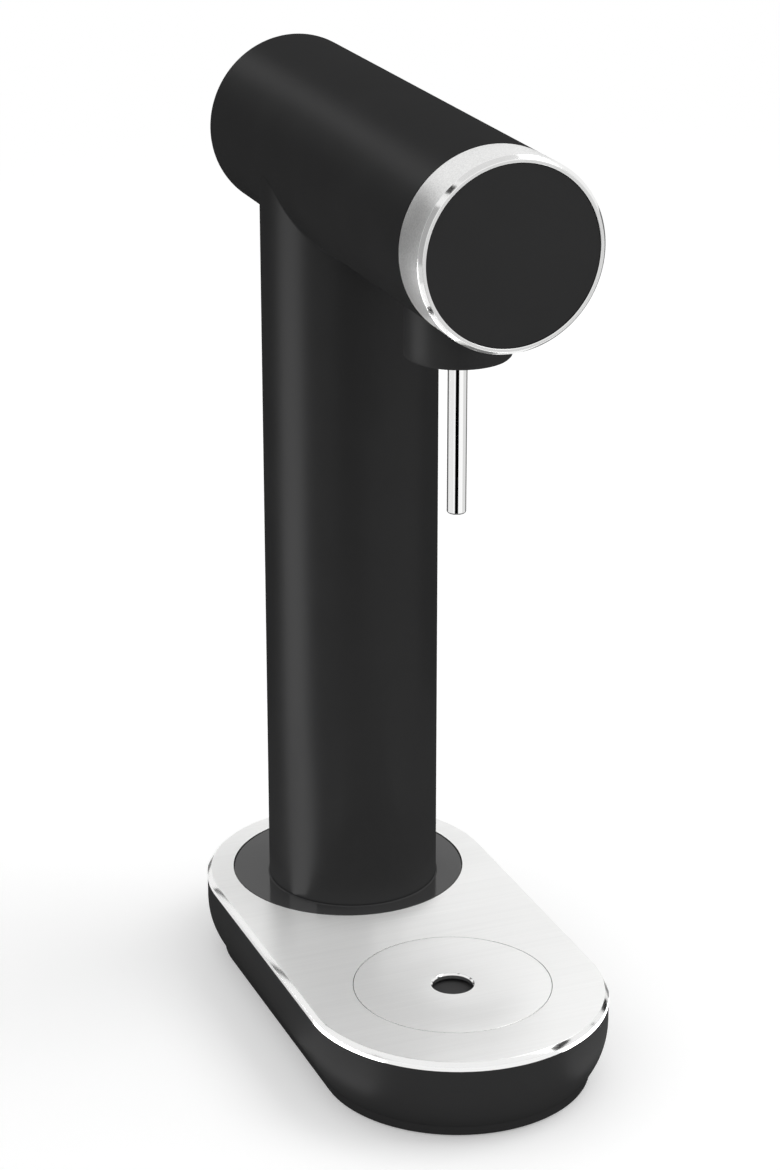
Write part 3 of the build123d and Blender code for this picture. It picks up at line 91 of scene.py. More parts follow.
Colour = tuple[float, float, float]
Place = tuple[float, float, float]
Span = tuple[float, float]
Ring = list[bmesh.types.BMVert]
Palette = dict[str, bpy.types.Material]
Value = Union["Term", float]
Settings = dict[str, object]
Sockets = dict[Union[int, str], object]


class Body(str, Enum):
    """Rigid bodies of the frame that pieces ride on."""

    FRAME = "frame"
    KNOB = "knob"
    COVER = "rear_cover"
    COASTER = "coaster"


class Slot(str, Enum):
    """Material slots of the record."""

    BODY = "body_black"
    SHELL = "shell_black"
    FACE = "face_black"
    BRUSHED = "brushed_steel"
    FASTENER = "fastener_steel"
    RUBBER = "rubber"


class Area(IntEnum):
    """Areas of a piece with two finishes, by the index of their material."""

    BROAD = 0
    EDGE = 1


class Axis(Enum):
    """Directions that a turned or brushed surface can follow."""

    X = (1.0, 0.0, 0.0)
    Y = (0.0, 1.0, 0.0)
    Z = (0.0, 0.0, 1.0)

    @property
    def vector(self) -> Vector:
        """The direction as a unit vector."""
        return Vector(self.value)

    def lengths(self, along: float, across: float) -> tuple[float, ...]:
        """Lengths on X, Y and Z with one value along the direction and another across it."""
        return tuple(along if share else across for share in self.value)


class Term:
    """A value in a node tree that takes part in Python arithmetic."""

    def __init__(self, builder: NodeBuilder, socket: bpy.types.NodeSocket) -> None:
        """Wrap an output socket in the tree of a builder."""
        self.builder = builder
        self.socket = socket

    def _math(self, operation: str, first: Value, second: Value) -> Term:
        """Result of a Math node for two values."""
        return self.builder.node("ShaderNodeMath", {"operation": operation}, {0: first, 1: second})

    def __add__(self, other: Value) -> Term:
        """Sum of this value and another."""
        return self._math("ADD", self, other)

    def __radd__(self, other: Value) -> Term:
        """Sum of a number and this value."""
        return self._math("ADD", other, self)

    def __sub__(self, other: Value) -> Term:
        """Difference of this value and another."""
        return self._math("SUBTRACT", self, other)

    def __rsub__(self, other: Value) -> Term:
        """Difference of a number and this value."""
        return self._math("SUBTRACT", other, self)

    def __mul__(self, other: Value) -> Term:
        """Product of this value and another."""
        return self._math("MULTIPLY", self, other)

    def __rmul__(self, other: Value) -> Term:
        """Product of a number and this value."""
        return self._math("MULTIPLY", other, self)


class NodeBuilder:
    """A node tree under construction."""

    def __init__(self, tree: bpy.types.NodeTree) -> None:
        """Start with a tree that is cleared of its nodes."""
        self.tree = tree
        self.tree.nodes.clear()

    def node(
        self, kind: str, settings: Settings | None = None, sockets: Sockets | None = None, out: int | str = 0
    ) -> Term:
        """Add a node with its settings, values and links.

        Args:
            kind: The node's type.
            settings: Properties that are set first.
            sockets: Values, terms or lists of terms for the node's inputs, by index or name.
            out: The output that the result wraps, by index or name.

        Returns:
            The chosen output.
        """
        made = self.tree.nodes.new(kind)
        for key, value in (settings or {}).items():
            setattr(made, key, value)
        for key, value in (sockets or {}).items():
            for source in value if isinstance(value, list) else [value]:
                if isinstance(source, Term):
                    self.tree.links.new(source.socket, made.inputs[key])
                else:
                    made.inputs[key].default_value = source
        return Term(self, made.outputs[out])

    def close(self, kind: str, entry: str, result: Term) -> None:
        """Send a result to an input of the tree's output node."""
        output = self.tree.nodes.new(kind)
        self.tree.links.new(result.socket, output.inputs[entry])


class Shader(NodeBuilder):
    """One procedural material under construction."""

    def __init__(self, name: str) -> None:
        """Start a material with an empty node tree.

        Args:
            name: The material's name.
        """
        self.material = bpy.data.materials.new(name)
        self.material.use_nodes = True
        super().__init__(self.material.node_tree)
        self.places = self.node("ShaderNodeTexCoord", out="Object")

    def noise(self, lengths: Sequence[float], detail: float = 2.0) -> Term:
        """Noise with a feature size in metres along each axis.

        Args:
            lengths: Feature size along X, Y and Z.
            detail: Octaves of finer noise.

        Returns:
            A value from zero to one.
        """
        scale = tuple(1.0 / length for length in lengths)
        mapped = {"Vector": self.places, "Scale": scale}
        place = self.node("ShaderNodeMapping", {"vector_type": "POINT"}, mapped)
        return self.node("ShaderNodeTexNoise", None, {"Vector": place, "Scale": 1.0, "Detail": detail})

    def grain(self, size: float, detail: float = 2.0) -> Term:
        """Noise of the same size in every direction, in metres."""
        return self.noise((size, size, size), detail)

    def toned(self, mask: Term, colour: Colour, share: float) -> Term:
        """Colour that a mask from zero to one makes darker and lighter, by a share either way."""
        low, high = ((*tinted(colour, 1.0 + step * share), 1.0) for step in BOTH_SIDES)
        return self.node("ShaderNodeMix", {"data_type": "RGBA"}, {0: mask, 6: low, 7: high}, out=2)

    def varied(self, level: float, share: float, *masks: Term) -> Value:
        """A level that masks move up and down.

        Args:
            level: The level at the middle of the masks.
            share: How much each mask moves it from end to end.
            masks: The masks, from zero to one.

        Returns:
            The varied level.
        """
        result: Value = level
        for mask in masks:
            result = result + (mask - HALF_TONE) * share
        return result

    def relief(self, height: Term, strength: float, depth: float) -> Term:
        """Surface normal bent by a height from zero to one over a depth in metres."""
        return self.node("ShaderNodeBump", None, {"Height": height, "Strength": strength, "Distance": depth})

    def principled(self, sockets: Sockets) -> Term:
        """One surface with its values and terms."""
        return self.node("ShaderNodeBsdfPrincipled", None, sockets)

    def glow(self, strength: Value) -> Term:
        """Even white glow."""
        return self.node("ShaderNodeEmission", None, {"Color": WHITE, "Strength": strength})

    def blended(self, share: Value, first: Term, second: Term) -> Term:
        """Two surfaces in one, with the second one's share."""
        return self.node("ShaderNodeMixShader", None, {0: share, 1: first, 2: second})

    def finished(self, surface: Term) -> bpy.types.Material:
        """Send a surface to the material's output and hand the material over."""
        self.close("ShaderNodeOutputMaterial", "Surface", surface)
        return self.material


def tinted(colour: Colour, factor: float) -> Colour:
    """A colour made lighter or darker by a factor."""
    return tuple(min(1.0, channel * factor) for channel in colour)


@dataclass(frozen=True)
class Finish(ABC):
    """A finish of the object: its name, its tone and how dull it is."""

    name: str
    colour: Colour
    roughness: float

    @abstractmethod
    def surface(self, shader: Shader) -> Term:
        """Surface of the finish, in a material under construction."""

    def material(self) -> bpy.types.Material:
        """Build the finish as a material."""
        shader = Shader(self.name)
        return shader.finished(self.surface(shader))


@dataclass(frozen=True)
class Textured(Finish):
    """Finish with a fine grain in its surface and larger clouds in its gloss and tone."""

    grain_size: float = 0.0005
    grain_depth: float = 0.00004
    grain_strength: float = 0.1
    cloud_size: float = 0.03
    tone_share: float = 0.08
    rough_share: float = 0.06
    speckled: bool = False

    def grain(self, shader: Shader) -> Term:
        """The fine grain, as a value from zero to one."""
        return shader.grain(self.grain_size)

    @abstractmethod
    def layers(self, shader: Shader, look: Sockets) -> Term:
        """Layers of the finish, from the inputs that they share."""

    def surface(self, shader: Shader) -> Term:
        """Surface with its grain and clouds.

        Args:
            shader: The material under construction.

        Returns:
            The surface.
        """
        grain = self.grain(shader)
        cloud = shader.grain(self.cloud_size, CLOUD_DETAIL)
        tone = grain if self.speckled else cloud
        return self.layers(shader, {
            "Base Color": shader.toned(tone, self.colour, self.tone_share),
            "Roughness": shader.varied(self.roughness, self.rough_share, grain, cloud),
            "Normal": shader.relief(grain, self.grain_strength, self.grain_depth),
        })


@dataclass(frozen=True)
class Coating(Textured):
    """Moulded plastic or rubber with one even gloss."""

    tone_share: float = 0.1
    sheen_level: float = 0.5

    def layers(self, shader: Shader, look: Sockets) -> Term:
        """One layer with the coating's own sheen."""
        return shader.principled({**look, "Specular IOR Level": self.sheen_level})


@dataclass(frozen=True)
class SatinBlack(Textured):
    """Satin black coat: a dull black ground with a thin, even sheen that doesn't flare at its edges."""

    ground_roughness: float = 0.8
    sheen_share: float = 0.012
    sheen_colour: Colour = (0.6, 0.6, 0.6)

    def layers(self, shader: Shader, look: Sockets) -> Term:
        """Dull ground and the sheen over it.

        Args:
            shader: The material under construction.
            look: Inputs that the layers share.

        Returns:
            The surface.
        """
        ground = shader.principled({**look, "Roughness": self.ground_roughness, "Specular IOR Level": 0.0})
        sheen = shader.principled({**look, "Base Color": (*self.sheen_colour, 1.0), "Metallic": 1.0})
        return shader.blended(self.sheen_share, ground, sheen)


@dataclass(frozen=True)
class GrainedMetal(Textured):
    """Bead-blasted, polished or plated metal: an even grain and faint handling clouds."""

    grain_size: float = 0.0004
    grain_depth: float = 0.00002
    grain_strength: float = 0.05
    cloud_size: float = 0.02
    tone_share: float = 0.03
    rough_share: float = 0.05
    speckled: bool = True

    def layers(self, shader: Shader, look: Sockets) -> Term:
        """One layer of bare metal."""
        return shader.principled({**look, "Metallic": 1.0})


@dataclass(frozen=True)
class TurnedMetal(GrainedMetal):
    """Metal from a lathe: close tool marks along the axis of the piece, and stains in its tone."""

    grain_depth: float = 0.00003
    grain_strength: float = 0.2
    cloud_size: float = 0.012
    tone_share: float = 0.08
    rough_share: float = 0.12
    speckled: bool = False
    along: Axis = Axis.Z
    spread: float = 0.5

    def grain(self, shader: Shader) -> Term:
        """Tool marks, close along the axis and drawn out across it."""
        return shader.noise(self.along.lengths(self.grain_size, self.spread))


@dataclass(frozen=True)
class BrushedMetal(Finish):
    """Metal drawn over an abrasive belt: long fine scratches along one direction, gloss with a soft veil."""

    veil_roughness: float = 0.9
    veil_share: float = 0.65
    along: Axis = Axis.X
    scratch_length: float = 0.05
    scratch_width: float = 0.00028
    scratch_detail: float = 3.0
    scratch_share: float = 0.65
    streak_length: float = 0.16
    streak_width: float = 0.0022
    tone_share: float = 0.06
    rough_share: float = 0.16
    depth: float = 0.00003
    strength: float = 0.3

    def surface(self, shader: Shader) -> Term:
        """Scratched gloss and the dull veil over it.

        Args:
            shader: The material under construction.

        Returns:
            The surface.
        """
        lengths = self.along.lengths
        scratch = shader.noise(lengths(self.scratch_length, self.scratch_width), self.scratch_detail)
        streak = shader.noise(lengths(self.streak_length, self.streak_width))
        mixed = scratch * self.scratch_share + streak * (1.0 - self.scratch_share)
        metal = {
            "Base Color": shader.toned(mixed, self.colour, self.tone_share),
            "Metallic": 1.0,
            "Normal": shader.relief(scratch, self.strength, self.depth),
        }
        worn = shader.varied(self.roughness, self.rough_share, mixed)
        gloss = shader.principled({**metal, "Roughness": worn})
        veil = shader.principled({**metal, "Roughness": self.veil_roughness})
        return shader.blended(self.veil_share, gloss, veil)


BLACK = (0.0215, 0.0215, 0.0218)
PLATE_STEEL = (0.935, 0.935, 0.93)
BRIGHT_STEEL = (0.86, 0.86, 0.855)

FINISHES: tuple[Finish, ...] = (
    SatinBlack("body_coat", BLACK, 0.34),
    SatinBlack("seam_matt", tinted(BLACK, 1.2), 0.6, sheen_share=0.002),
    SatinBlack("shell_plastic", tinted(BLACK, 1.25), 0.42, grain_size=0.0007),
    Coating(
        "plinth_gloss", (0.054, 0.054, 0.0545), 0.12,
        sheen_level=0.22, grain_size=0.0006, grain_depth=0.00001, grain_strength=0.03,
    ),
    # Painted light: 2.5 times lighter than the body black, so that the foot bead doesn't show the contact
    # shade at the column's foot.
    SatinBlack("bead_plastic", tinted(BLACK, 2.5), 0.42),
    SatinBlack("tray_plastic", (0.05, 0.05, 0.0505), 0.5, sheen_share=0.03),
    SatinBlack("face_coat", tinted(BLACK, 1.2), 0.5, grain_size=0.0004),
    BrushedMetal("brushed_steel_plate", PLATE_STEEL, 0.32),
    GrainedMetal("polished_steel_edge", BRIGHT_STEEL, 0.12, rough_share=0.03),
    GrainedMetal("mirror_steel_tube", BRIGHT_STEEL, 0.03, rough_share=0.01),
    GrainedMetal(
        "blasted_steel_band", (0.78, 0.78, 0.775), 0.3,
        grain_size=0.0007, grain_depth=0.00011, grain_strength=0.9, tone_share=0.28,
    ),
    GrainedMetal("plated_steel", (0.6, 0.6, 0.6), 0.28),
    TurnedMetal("turned_brass", (0.72, 0.52, 0.24), 0.28),
    TurnedMetal("turned_aluminium", (0.7, 0.71, 0.72), 0.34),
    Coating(
        "pad_rubber", (0.02, 0.02, 0.02), 0.75,
        sheen_level=0.3, grain_size=0.0006, grain_depth=0.00008, grain_strength=0.3,
    ),
    Coating(
        "tube_nylon", (0.75, 0.75, 0.7), 0.4,
        sheen_level=0.45, grain_size=0.001, grain_depth=0.00002, grain_strength=0.05,
    ),
)

CAD_FINISHES: dict[str, tuple[str, ...]] = {
    "body_coat": ("column_tube", "rear_cover", "head_tube", "rear_cap"),
    "shell_plastic": ("base_shell", "base_floor", "bottle_socket", "knob_hub", "cover_sill"),
    "tray_plastic": ("drip_tray",),
    "plinth_gloss": ("plinth_disc",),
    "mirror_steel_tube": ("nozzle_tube",),
    "polished_steel_edge": ("nozzle_nut",),
    "plated_steel": (
        "deck_screws", "clamp_screws", "column_set_screws", "cover_strikes", "cover_magnets", "block_screws",
        "valve_pin", "plunger", "stop_pin", "knob_shaft", "shaft_clip", "cam_screw", "collar_screw",
        "return_spring", "knob_screws", "hub_screw", "socket_screws", "plate_screws", "socket_plate",
    ),
    "turned_brass": (
        "valve_block", "cylinder_valve", "injector", "inlet_fitting", "outlet_fitting", "relief_valve_body",
        "relief_poppet", "relief_cap", "front_bush", "rear_bush",
    ),
    "turned_aluminium": (
        "gas_cylinder", "column_clamp", "valve_bracket", "front_bulkhead", "rear_bearing_plate", "cam",
        "spring_collar",
    ),
    "pad_rubber": ("cylinder_seal", "bottle_seal"),
    "tube_nylon": ("gas_tube",),
}


@dataclass(frozen=True)
class Corner:
    """Corner of an outline in millimetres: reach from the axis, height along it, rounding, finish."""

    reach: float
    height: float
    radius: float = 0.0
    area: Area = Area.BROAD

    @property
    def point(self) -> Vector:
        """The corner as a point of its plane."""
        return Vector((self.reach, self.height))


def rounded(corners: Sequence[Corner], closed: bool) -> list[Corner]:
    """Replace the rounded corners of an outline by points along their arcs.

    Args:
        corners: The outline's corners in order.
        closed: Whether the last corner joins the first.

    Returns:
        The outline with its arcs.
    """
    points: list[Corner] = []
    for index, corner in enumerate(corners):
        end = not closed and index in (0, len(corners) - 1)
        if end or corner.radius == 0.0:
            points.append(corner)
            continue
        here = corner.point
        back = (corners[index - 1].point - here).normalized()
        ahead = (corners[(index + 1) % len(corners)].point - here).normalized()
        half = back.angle(ahead) / 2
        centre = here + (back + ahead).normalized() * (corner.radius / math.sin(half))
        tangent = corner.radius / math.tan(half)
        first = here + back * tangent - centre
        last = here + ahead * tangent - centre
        for step in range(ARC_STEPS + 1):
            spoke = first.slerp(last, step / ARC_STEPS).normalized() * corner.radius
            points.append(Corner(centre.x + spoke.x, centre.y + spoke.y, area=corner.area))
    return points


def broad_at(outline: Sequence[Corner], height: float) -> list[Corner]:
    """Give the flat part of an outline at one height the broad finish.

    Args:
        outline: The points of a closed or open outline.
        height: The height of the flat part.

    Returns:
        The outline with that finish on the pieces that lie at the height.
    """
    level = [abs(corner.height - height) < FLAT_TOLERANCE for corner in outline]
    flat = [here and after for here, after in zip(level, [*level[1:], level[0]])]
    return [replace(corner, area=Area.BROAD) if lies else corner for corner, lies in zip(outline, flat)]


@dataclass(frozen=True)
class Turn:
    """Path that an outline is swept along: a circle about an axis, or a slot with round ends about Z."""

    origin: Place
    axis: Axis = Axis.Z
    half_run: float = 0.0
    segments: int = 192

    def stations(self) -> list[tuple[Vector, Vector]]:
        """Places along the path.

        Returns:
            Pairs of the point where the outline's axis stands and the direction of its reach.
        """
        side = Axis.X.vector
        front = Axis.Y.vector if self.axis is Axis.Z else Axis.Z.vector
        half = self.segments // 2
        if self.half_run:
            rear_end = [(math.pi * i / half, self.half_run) for i in range(half + 1)]
            front_end = [(math.pi + math.pi * i / half, -self.half_run) for i in range(half + 1)]
            turns = rear_end + front_end
        else:
            turns = [(2 * math.pi * i / self.segments, 0.0) for i in range(self.segments)]
        origin = Vector(self.origin)
        return [
            (origin + Vector((0.0, shift, 0.0)), side * math.cos(angle) + front * math.sin(angle))
            for angle, shift in turns
        ]


def placed(name: str, data: bpy.types.ID) -> bpy.types.Object:
    """Link a new object into the scene.

    Args:
        name: The object's name.
        data: Its mesh, lamp or camera.

    Returns:
        The object, at the origin.
    """
    thing = bpy.data.objects.new(name, data)
    bpy.context.scene.collection.objects.link(thing)
    return thing


def smooth(mesh: bpy.types.Mesh) -> None:
    """Shade a mesh smooth, apart from its sharp edges."""
    mesh.polygons.foreach_set("use_smooth", [True] * len(mesh.polygons))
    mesh.set_sharp_from_angle(angle=SHARP_ANGLE)


class PieceMaker:
    """Mesh of one new piece, built ring by ring in millimetres."""

    def __init__(self, name: str) -> None:
        """Start an empty mesh for the piece of that name."""
        self.name = name
        self.mesh = bmesh.new()

    def ring(self, turn: Turn, corner: Corner) -> Ring:
        """Add one corner of an outline all along a path.

        Args:
            turn: The path.
            corner: The corner.

        Returns:
            The ring's vertices, or a single one on the axis.
        """
        lift = turn.axis.vector * corner.height
        if corner.reach == 0.0:
            return [self.mesh.verts.new((Vector(turn.origin) + lift) * MM)]
        return [
            self.mesh.verts.new((foot + spoke * corner.reach + lift) * MM)
            for foot, spoke in turn.stations()
        ]

    def band(self, first: Ring, second: Ring, area: Area = Area.BROAD) -> None:
        """Join two rings by a row of faces all the way round.

        Args:
            first: One ring.
            second: The ring beside it.
            area: The faces' area.
        """
        count = max(len(first), len(second))
        for index in range(count):
            after = (index + 1) % count
            corners = []
            for ring, places in ((first, (index, after)), (second, (after, index))):
                corners += ring if len(ring) == 1 else [ring[place] for place in places]
            self.mesh.faces.new(corners).material_index = area

    def sweep(self, turn: Turn, outline: Sequence[Corner], closed: bool) -> list[Ring]:
        """Sweep an outline along a path.

        Args:
            turn: The path.
            outline: The outline's points.
            closed: Whether the outline's last point joins its first.

        Returns:
            The rings of vertices, one for each point.
        """
        rings = [self.ring(turn, corner) for corner in outline]
        for index in range(len(rings) if closed else len(rings) - 1):
            self.band(rings[index], rings[(index + 1) % len(rings)], outline[index].area)
        return rings

    def fill(self, loops: Sequence[Ring], area: Area) -> None:
        """Close a flat face whose first loop is its outline and whose other loops are holes.

        Args:
            loops: The loops of vertices.
            area: The face's area.
        """
        edges = []
        for loop in loops:
            for index, vertex in enumerate(loop):
                pair = (loop[index - 1], vertex)
                edges.append(self.mesh.edges.get(pair) or self.mesh.edges.new(pair))
        made = bmesh.ops.triangle_fill(self.mesh, use_beauty=True, use_dissolve=False, edges=edges)
        for part in made["geom"]:
            if isinstance(part, bmesh.types.BMFace):
                part.material_index = area

    def build(self, *materials: bpy.types.Material) -> bpy.types.Object:
        """Turn the mesh into an object.

        Args:
            materials: The materials, in the order of the areas.

        Returns:
            The object, at the origin.
        """
        bmesh.ops.recalc_face_normals(self.mesh, faces=self.mesh.faces)
        data = bpy.data.meshes.new(self.name)
        self.mesh.to_mesh(data)
        self.mesh.free()
        for material in materials:
            data.materials.append(material)
        smooth(data)
        return placed(self.name, data)


@dataclass(frozen=True)
class Disc:
    """A round upright CAD node as it stands in the frame, in millimetres."""

    centre_y: float
    radius: float
    bottom: float
    top: float

    @classmethod
    def of(cls, node: str) -> Disc:
        """Read an upright disc from its node's box.

        Args:
            node: The node's name.

        Returns:
            Its place and size.
        """
        low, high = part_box(node)
        middle = (low + high) / 2 / MM
        return cls(middle.y, (high.x - low.x) / 2 / MM, low.z / MM, high.z / MM)

    @property
    def axis_foot(self) -> Place:
        """Where the disc's axis meets the floor."""
        return (0.0, self.centre_y, 0.0)


def box_mm(node: str) -> tuple[Vector, Vector]:
    """Lower and upper corner of a CAD node's box, in millimetres."""
    low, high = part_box(node)
    return low / MM, high / MM


def settle(piece: bpy.types.Object, body: Body, slot: Slot, *nodes: str) -> None:
    """Give a new piece its body and let it stand for its CAD nodes.

    Args:
        piece: The piece.
        body: The body that it moves with.
        slot: The record's slot that its finish belongs to; not used.
        nodes: CAD nodes that it stands for.
    """
    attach(piece, body.value)
    if nodes:
        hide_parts(*nodes)
    LOG.info("%s rides on %s, %d faces", piece.name, body.value, len(piece.data.polygons))


@dataclass
class Dress(ABC):
    """Fine form of one sub-assembly, in place of its CAD nodes or beside them."""

    palette: Palette

    @abstractmethod
    def build(self) -> None:
        """Build the pieces and give each its body."""


@dataclass
class Deck(Dress):
    """Steel deck of the base: brushed top, polished bevel all round, fine edges at its two openings."""

    half_length: float
    bevel: float = 1.8
    edge_round: float = 0.2
    hole_edge: float = 0.12
    plinth_gap: float = 0.3
    coaster_gap: float = 0.35
    segments: int = 256

    def build(self) -> None:
        """Build the plate in place of its CAD node."""
        plate = Disc.of("deck_plate")
        rim = plate.radius
        turn = Turn((0.0, 0.0, 0.0), half_run=self.half_length - rim, segments=self.segments)
        maker = PieceMaker("deck_steel")
        outline = rounded([
            Corner(rim - self.bevel, plate.bottom, area=Area.EDGE),
            Corner(rim, plate.bottom, self.edge_round, Area.EDGE),
            Corner(rim, plate.top - self.bevel, self.edge_round, Area.EDGE),
            Corner(rim - self.bevel, plate.top, self.edge_round, Area.EDGE),
            Corner(rim - 2 * self.bevel, plate.top),
        ], closed=False)
        rings = maker.sweep(turn, broad_at(outline, plate.top), closed=False)
        tops, bottoms = [rings[-1]], [rings[0]]
        for node, gap in (("plinth_disc", self.plinth_gap), ("coaster_disc", self.coaster_gap)):
            disc = Disc.of(node)
            reach = disc.radius + gap
            edge = rounded([
                Corner(reach + 2 * self.hole_edge, plate.top),
                Corner(reach, plate.top, self.hole_edge, Area.EDGE),
                Corner(reach, plate.bottom, area=Area.EDGE),
            ], closed=False)
            hole = maker.sweep(Turn(disc.axis_foot), edge, closed=False)
            tops.append(hole[0])
            bottoms.append(hole[-1])
        maker.fill(tops, Area.BROAD)
        maker.fill(bottoms, Area.EDGE)
        piece = maker.build(self.palette["brushed_steel_plate"], self.palette["polished_steel_edge"])
        settle(piece, Body.FRAME, Slot.BRUSHED, "deck_plate")


@dataclass
class Coaster(Dress):
    """Loose steel disc under the bottle, with a polished finger hole."""

    finger_hole: float = 18.4
    hole_bevel: float = 0.8
    edge_round: float = 0.12
    fill_out: float = 0.12
    seat_gap: float = 0.02

    def build(self) -> None:
        """Build the disc in place of its CAD node."""
        disc = Disc.of("coaster_disc")
        hole = self.finger_hole / 2
        rim = disc.radius + self.fill_out
        bottom = disc.bottom + self.seat_gap
        outline = rounded([
            Corner(reach, height, self.edge_round, Area.EDGE)
            for reach, height in (
                (rim, bottom),
                (rim, disc.top),
                (hole + self.hole_bevel, disc.top),
                (hole, disc.top - self.hole_bevel),
                (hole, bottom),
            )
        ], closed=True)
        maker = PieceMaker("coaster_steel")
        maker.sweep(Turn(disc.axis_foot), broad_at(outline, disc.top), closed=True)
        piece = maker.build(self.palette["brushed_steel_plate"], self.palette["polished_steel_edge"])
        settle(piece, Body.COASTER, Slot.BRUSHED, "coaster_disc")


@dataclass
class Knob(Dress):
    """Turning knob: blasted steel band with a polished bevel and rim around a black face."""

    bevel_width: float = 1.4
    bevel_depth: float = 2.0
    rim_width: float = 1.5
    edge_round: float = 0.2
    face_round: float = 0.3

    def _band(self, turn: Turn, reach: float, front: float, rear: float) -> None:
        """Build the steel band.

        Args:
            turn: The circle about the knob's axis.
            reach: The band's outer radius.
            front: Where its front lies along the axis.
            rear: Where its rear lies.
        """
        rim = reach - self.bevel_width
        inner = rim - self.rim_width
        maker = PieceMaker("knob_band")
        maker.sweep(turn, rounded([
            Corner(reach, rear, self.edge_round),
            Corner(reach, front + self.bevel_depth, self.edge_round, Area.EDGE),
            Corner(rim, front, self.edge_round, Area.EDGE),
            Corner(inner, front, self.edge_round, Area.EDGE),
            Corner(inner, rear, self.edge_round),
        ], closed=True), closed=True)
        piece = maker.build(self.palette["blasted_steel_band"], self.palette["polished_steel_edge"])
        settle(piece, Body.KNOB, Slot.BRUSHED, "knob_ring")

    def _face(self, turn: Turn) -> None:
        """Build the black face.

        Args:
            turn: The circle about the knob's axis.
        """
        low, high = box_mm("knob_face")
        reach = (high.x - low.x) / 2
        maker = PieceMaker("knob_plate")
        maker.sweep(turn, rounded([
            Corner(0.0, high.y),
            Corner(reach, high.y, self.face_round),
            Corner(reach, low.y, self.face_round),
            Corner(0.0, low.y),
        ], closed=False), closed=False)
        settle(maker.build(self.palette["face_coat"]), Body.KNOB, Slot.FACE, "knob_face")

    def build(self) -> None:
        """Build the band and the face in place of their CAD nodes."""
        low, high = box_mm("knob_ring")
        reach = (high.x - low.x) / 2
        turn = Turn((0.0, 0.0, high.z - reach), axis=Axis.Y)
        self._band(turn, reach, low.y, high.y)
        self._face(turn)


@dataclass
class FootBead(Dress):
    """Narrow fillet around the foot of the column, where it stands on the plinth, in a lighter black that
    paints light into the contact shade there.
    """

    radius: float = 0.6
    steps: int = 6

    def build(self) -> None:
        """Build the fillet."""
        column = Disc.of("column_tube")
        floor = Disc.of("plinth_disc").top
        outline = []
        for step in range(self.steps + 1):
            turn = math.pi / 2 * step / self.steps
            reach = column.radius + self.radius * (1.0 - math.cos(turn))
            height = floor + self.radius * (1.0 - math.sin(turn))
            outline.append(Corner(reach, height))
        outline.append(Corner(column.radius, floor))
        maker = PieceMaker("foot_bead")
        maker.sweep(Turn(column.axis_foot), outline, closed=True)
        # Its lighter finish paints light into the shade where the column meets the plinth.
        settle(maker.build(self.palette["bead_plastic"]), Body.FRAME, Slot.SHELL)


@dataclass
class SeamBead(Dress):
    """Soft fillet where the column runs into the head, split at the sides of the rear cover."""

    radius: float = 2.2
    rear_angle: float = 90.0
    cover_half_angle: float = 65.4
    frame_half_angle: float = 66.0
    cover_clearance: float = 0.15
    steps: int = 8
    pitch: float = 1.5

    def _section(self, angle: float, clearance: float) -> list[Vector]:
        """Cross-section of the bead at one side of the column.

        Args:
            angle: Angle about the column, in degrees from +X.
            clearance: Room left under the head.

        Returns:
            Points of the closed section: the hollow arc and the corner behind it.
        """
        column = Disc.of("column_tube")
        low, high = box_mm("head_tube")
        head_reach = (high.z - low.z) / 2 + clearance
        head_height = (high.z + low.z) / 2
        out = Vector((math.cos(math.radians(angle)), math.sin(math.radians(angle)), 0.0))
        axis_point = Vector(column.axis_foot)
        side = (column.radius + self.radius) * out.x
        drop = math.sqrt((head_reach + self.radius) ** 2 - side ** 2)
        centre = axis_point + out * (column.radius + self.radius) + Vector((0.0, 0.0, head_height - drop))
        to_column = -out
        to_head = Vector((-side, 0.0, drop)).normalized()
        corner_drop = math.sqrt(head_reach ** 2 - (column.radius * out.x) ** 2)
        corner = axis_point + out * column.radius + Vector((0.0, 0.0, head_height - corner_drop))
        arc = [
            centre + to_column.slerp(to_head, step / self.steps).normalized() * self.radius
            for step in range(self.steps + 1)
        ]
        return [*arc, corner]

    def _bead(self, name: str, start: float, end: float, clearance: float) -> bpy.types.Object:
        """Build the bead between two angles.

        Args:
            name: The name of the piece.
            start: First angle, in degrees.
            end: Last angle, in degrees.
            clearance: Room left under the head.

        Returns:
            The piece.
        """
        maker = PieceMaker(name)
        count = round((end - start) / self.pitch)
        rows = [
            [maker.mesh.verts.new(point * MM) for point in self._section(angle, clearance)]
            for angle in (start + (end - start) * index / count for index in range(count + 1))
        ]
        for first, second in zip(rows, rows[1:]):
            maker.band(first, second)
        maker.mesh.faces.new(rows[0])
        maker.mesh.faces.new(rows[-1])
        return maker.build(self.palette["seam_matt"])

    def build(self) -> None:
        """Build the bead on the column and its continuation on the rear cover."""
        front_start = self.rear_angle + self.frame_half_angle
        front_end = self.rear_angle + 360.0 - self.frame_half_angle
        settle(self._bead("seam_bead_front", front_start, front_end, 0.0), Body.FRAME, Slot.BODY)
        cover_start = self.rear_angle - self.cover_half_angle
        cover_end = self.rear_angle + self.cover_half_angle
        cover_bead = self._bead("seam_bead_cover", cover_start, cover_end, self.cover_clearance)
        settle(cover_bead, Body.COVER, Slot.BODY)


@dataclass(frozen=True)
class Spring:
    """Coil spring in place of its CAD node."""

    node: str
    joint: str
    axis: Axis
    stroke: float
    fixed_above: bool
    seat_gap: float = 0.15
    merge_distance: float = 0.001

    def build(self, source: bpy.types.Object, finish: bpy.types.Material) -> None:
        """Build the spring.

        Args:
            source: The CAD node's object.
            finish: The wire's finish.
        """
        maker = PieceMaker(f"{self.node}_wire")
        maker.mesh.from_mesh(source.data)
        bmesh.ops.remove_doubles(maker.mesh, verts=maker.mesh.verts, dist=self.merge_distance * MM)
        for face in maker.mesh.faces:
            face.material_index = Area.BROAD
        piece = maker.build(finish)
        settle(piece, Body.FRAME, Slot.FASTENER, self.node)
        low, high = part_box(self.node)
        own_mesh(piece)


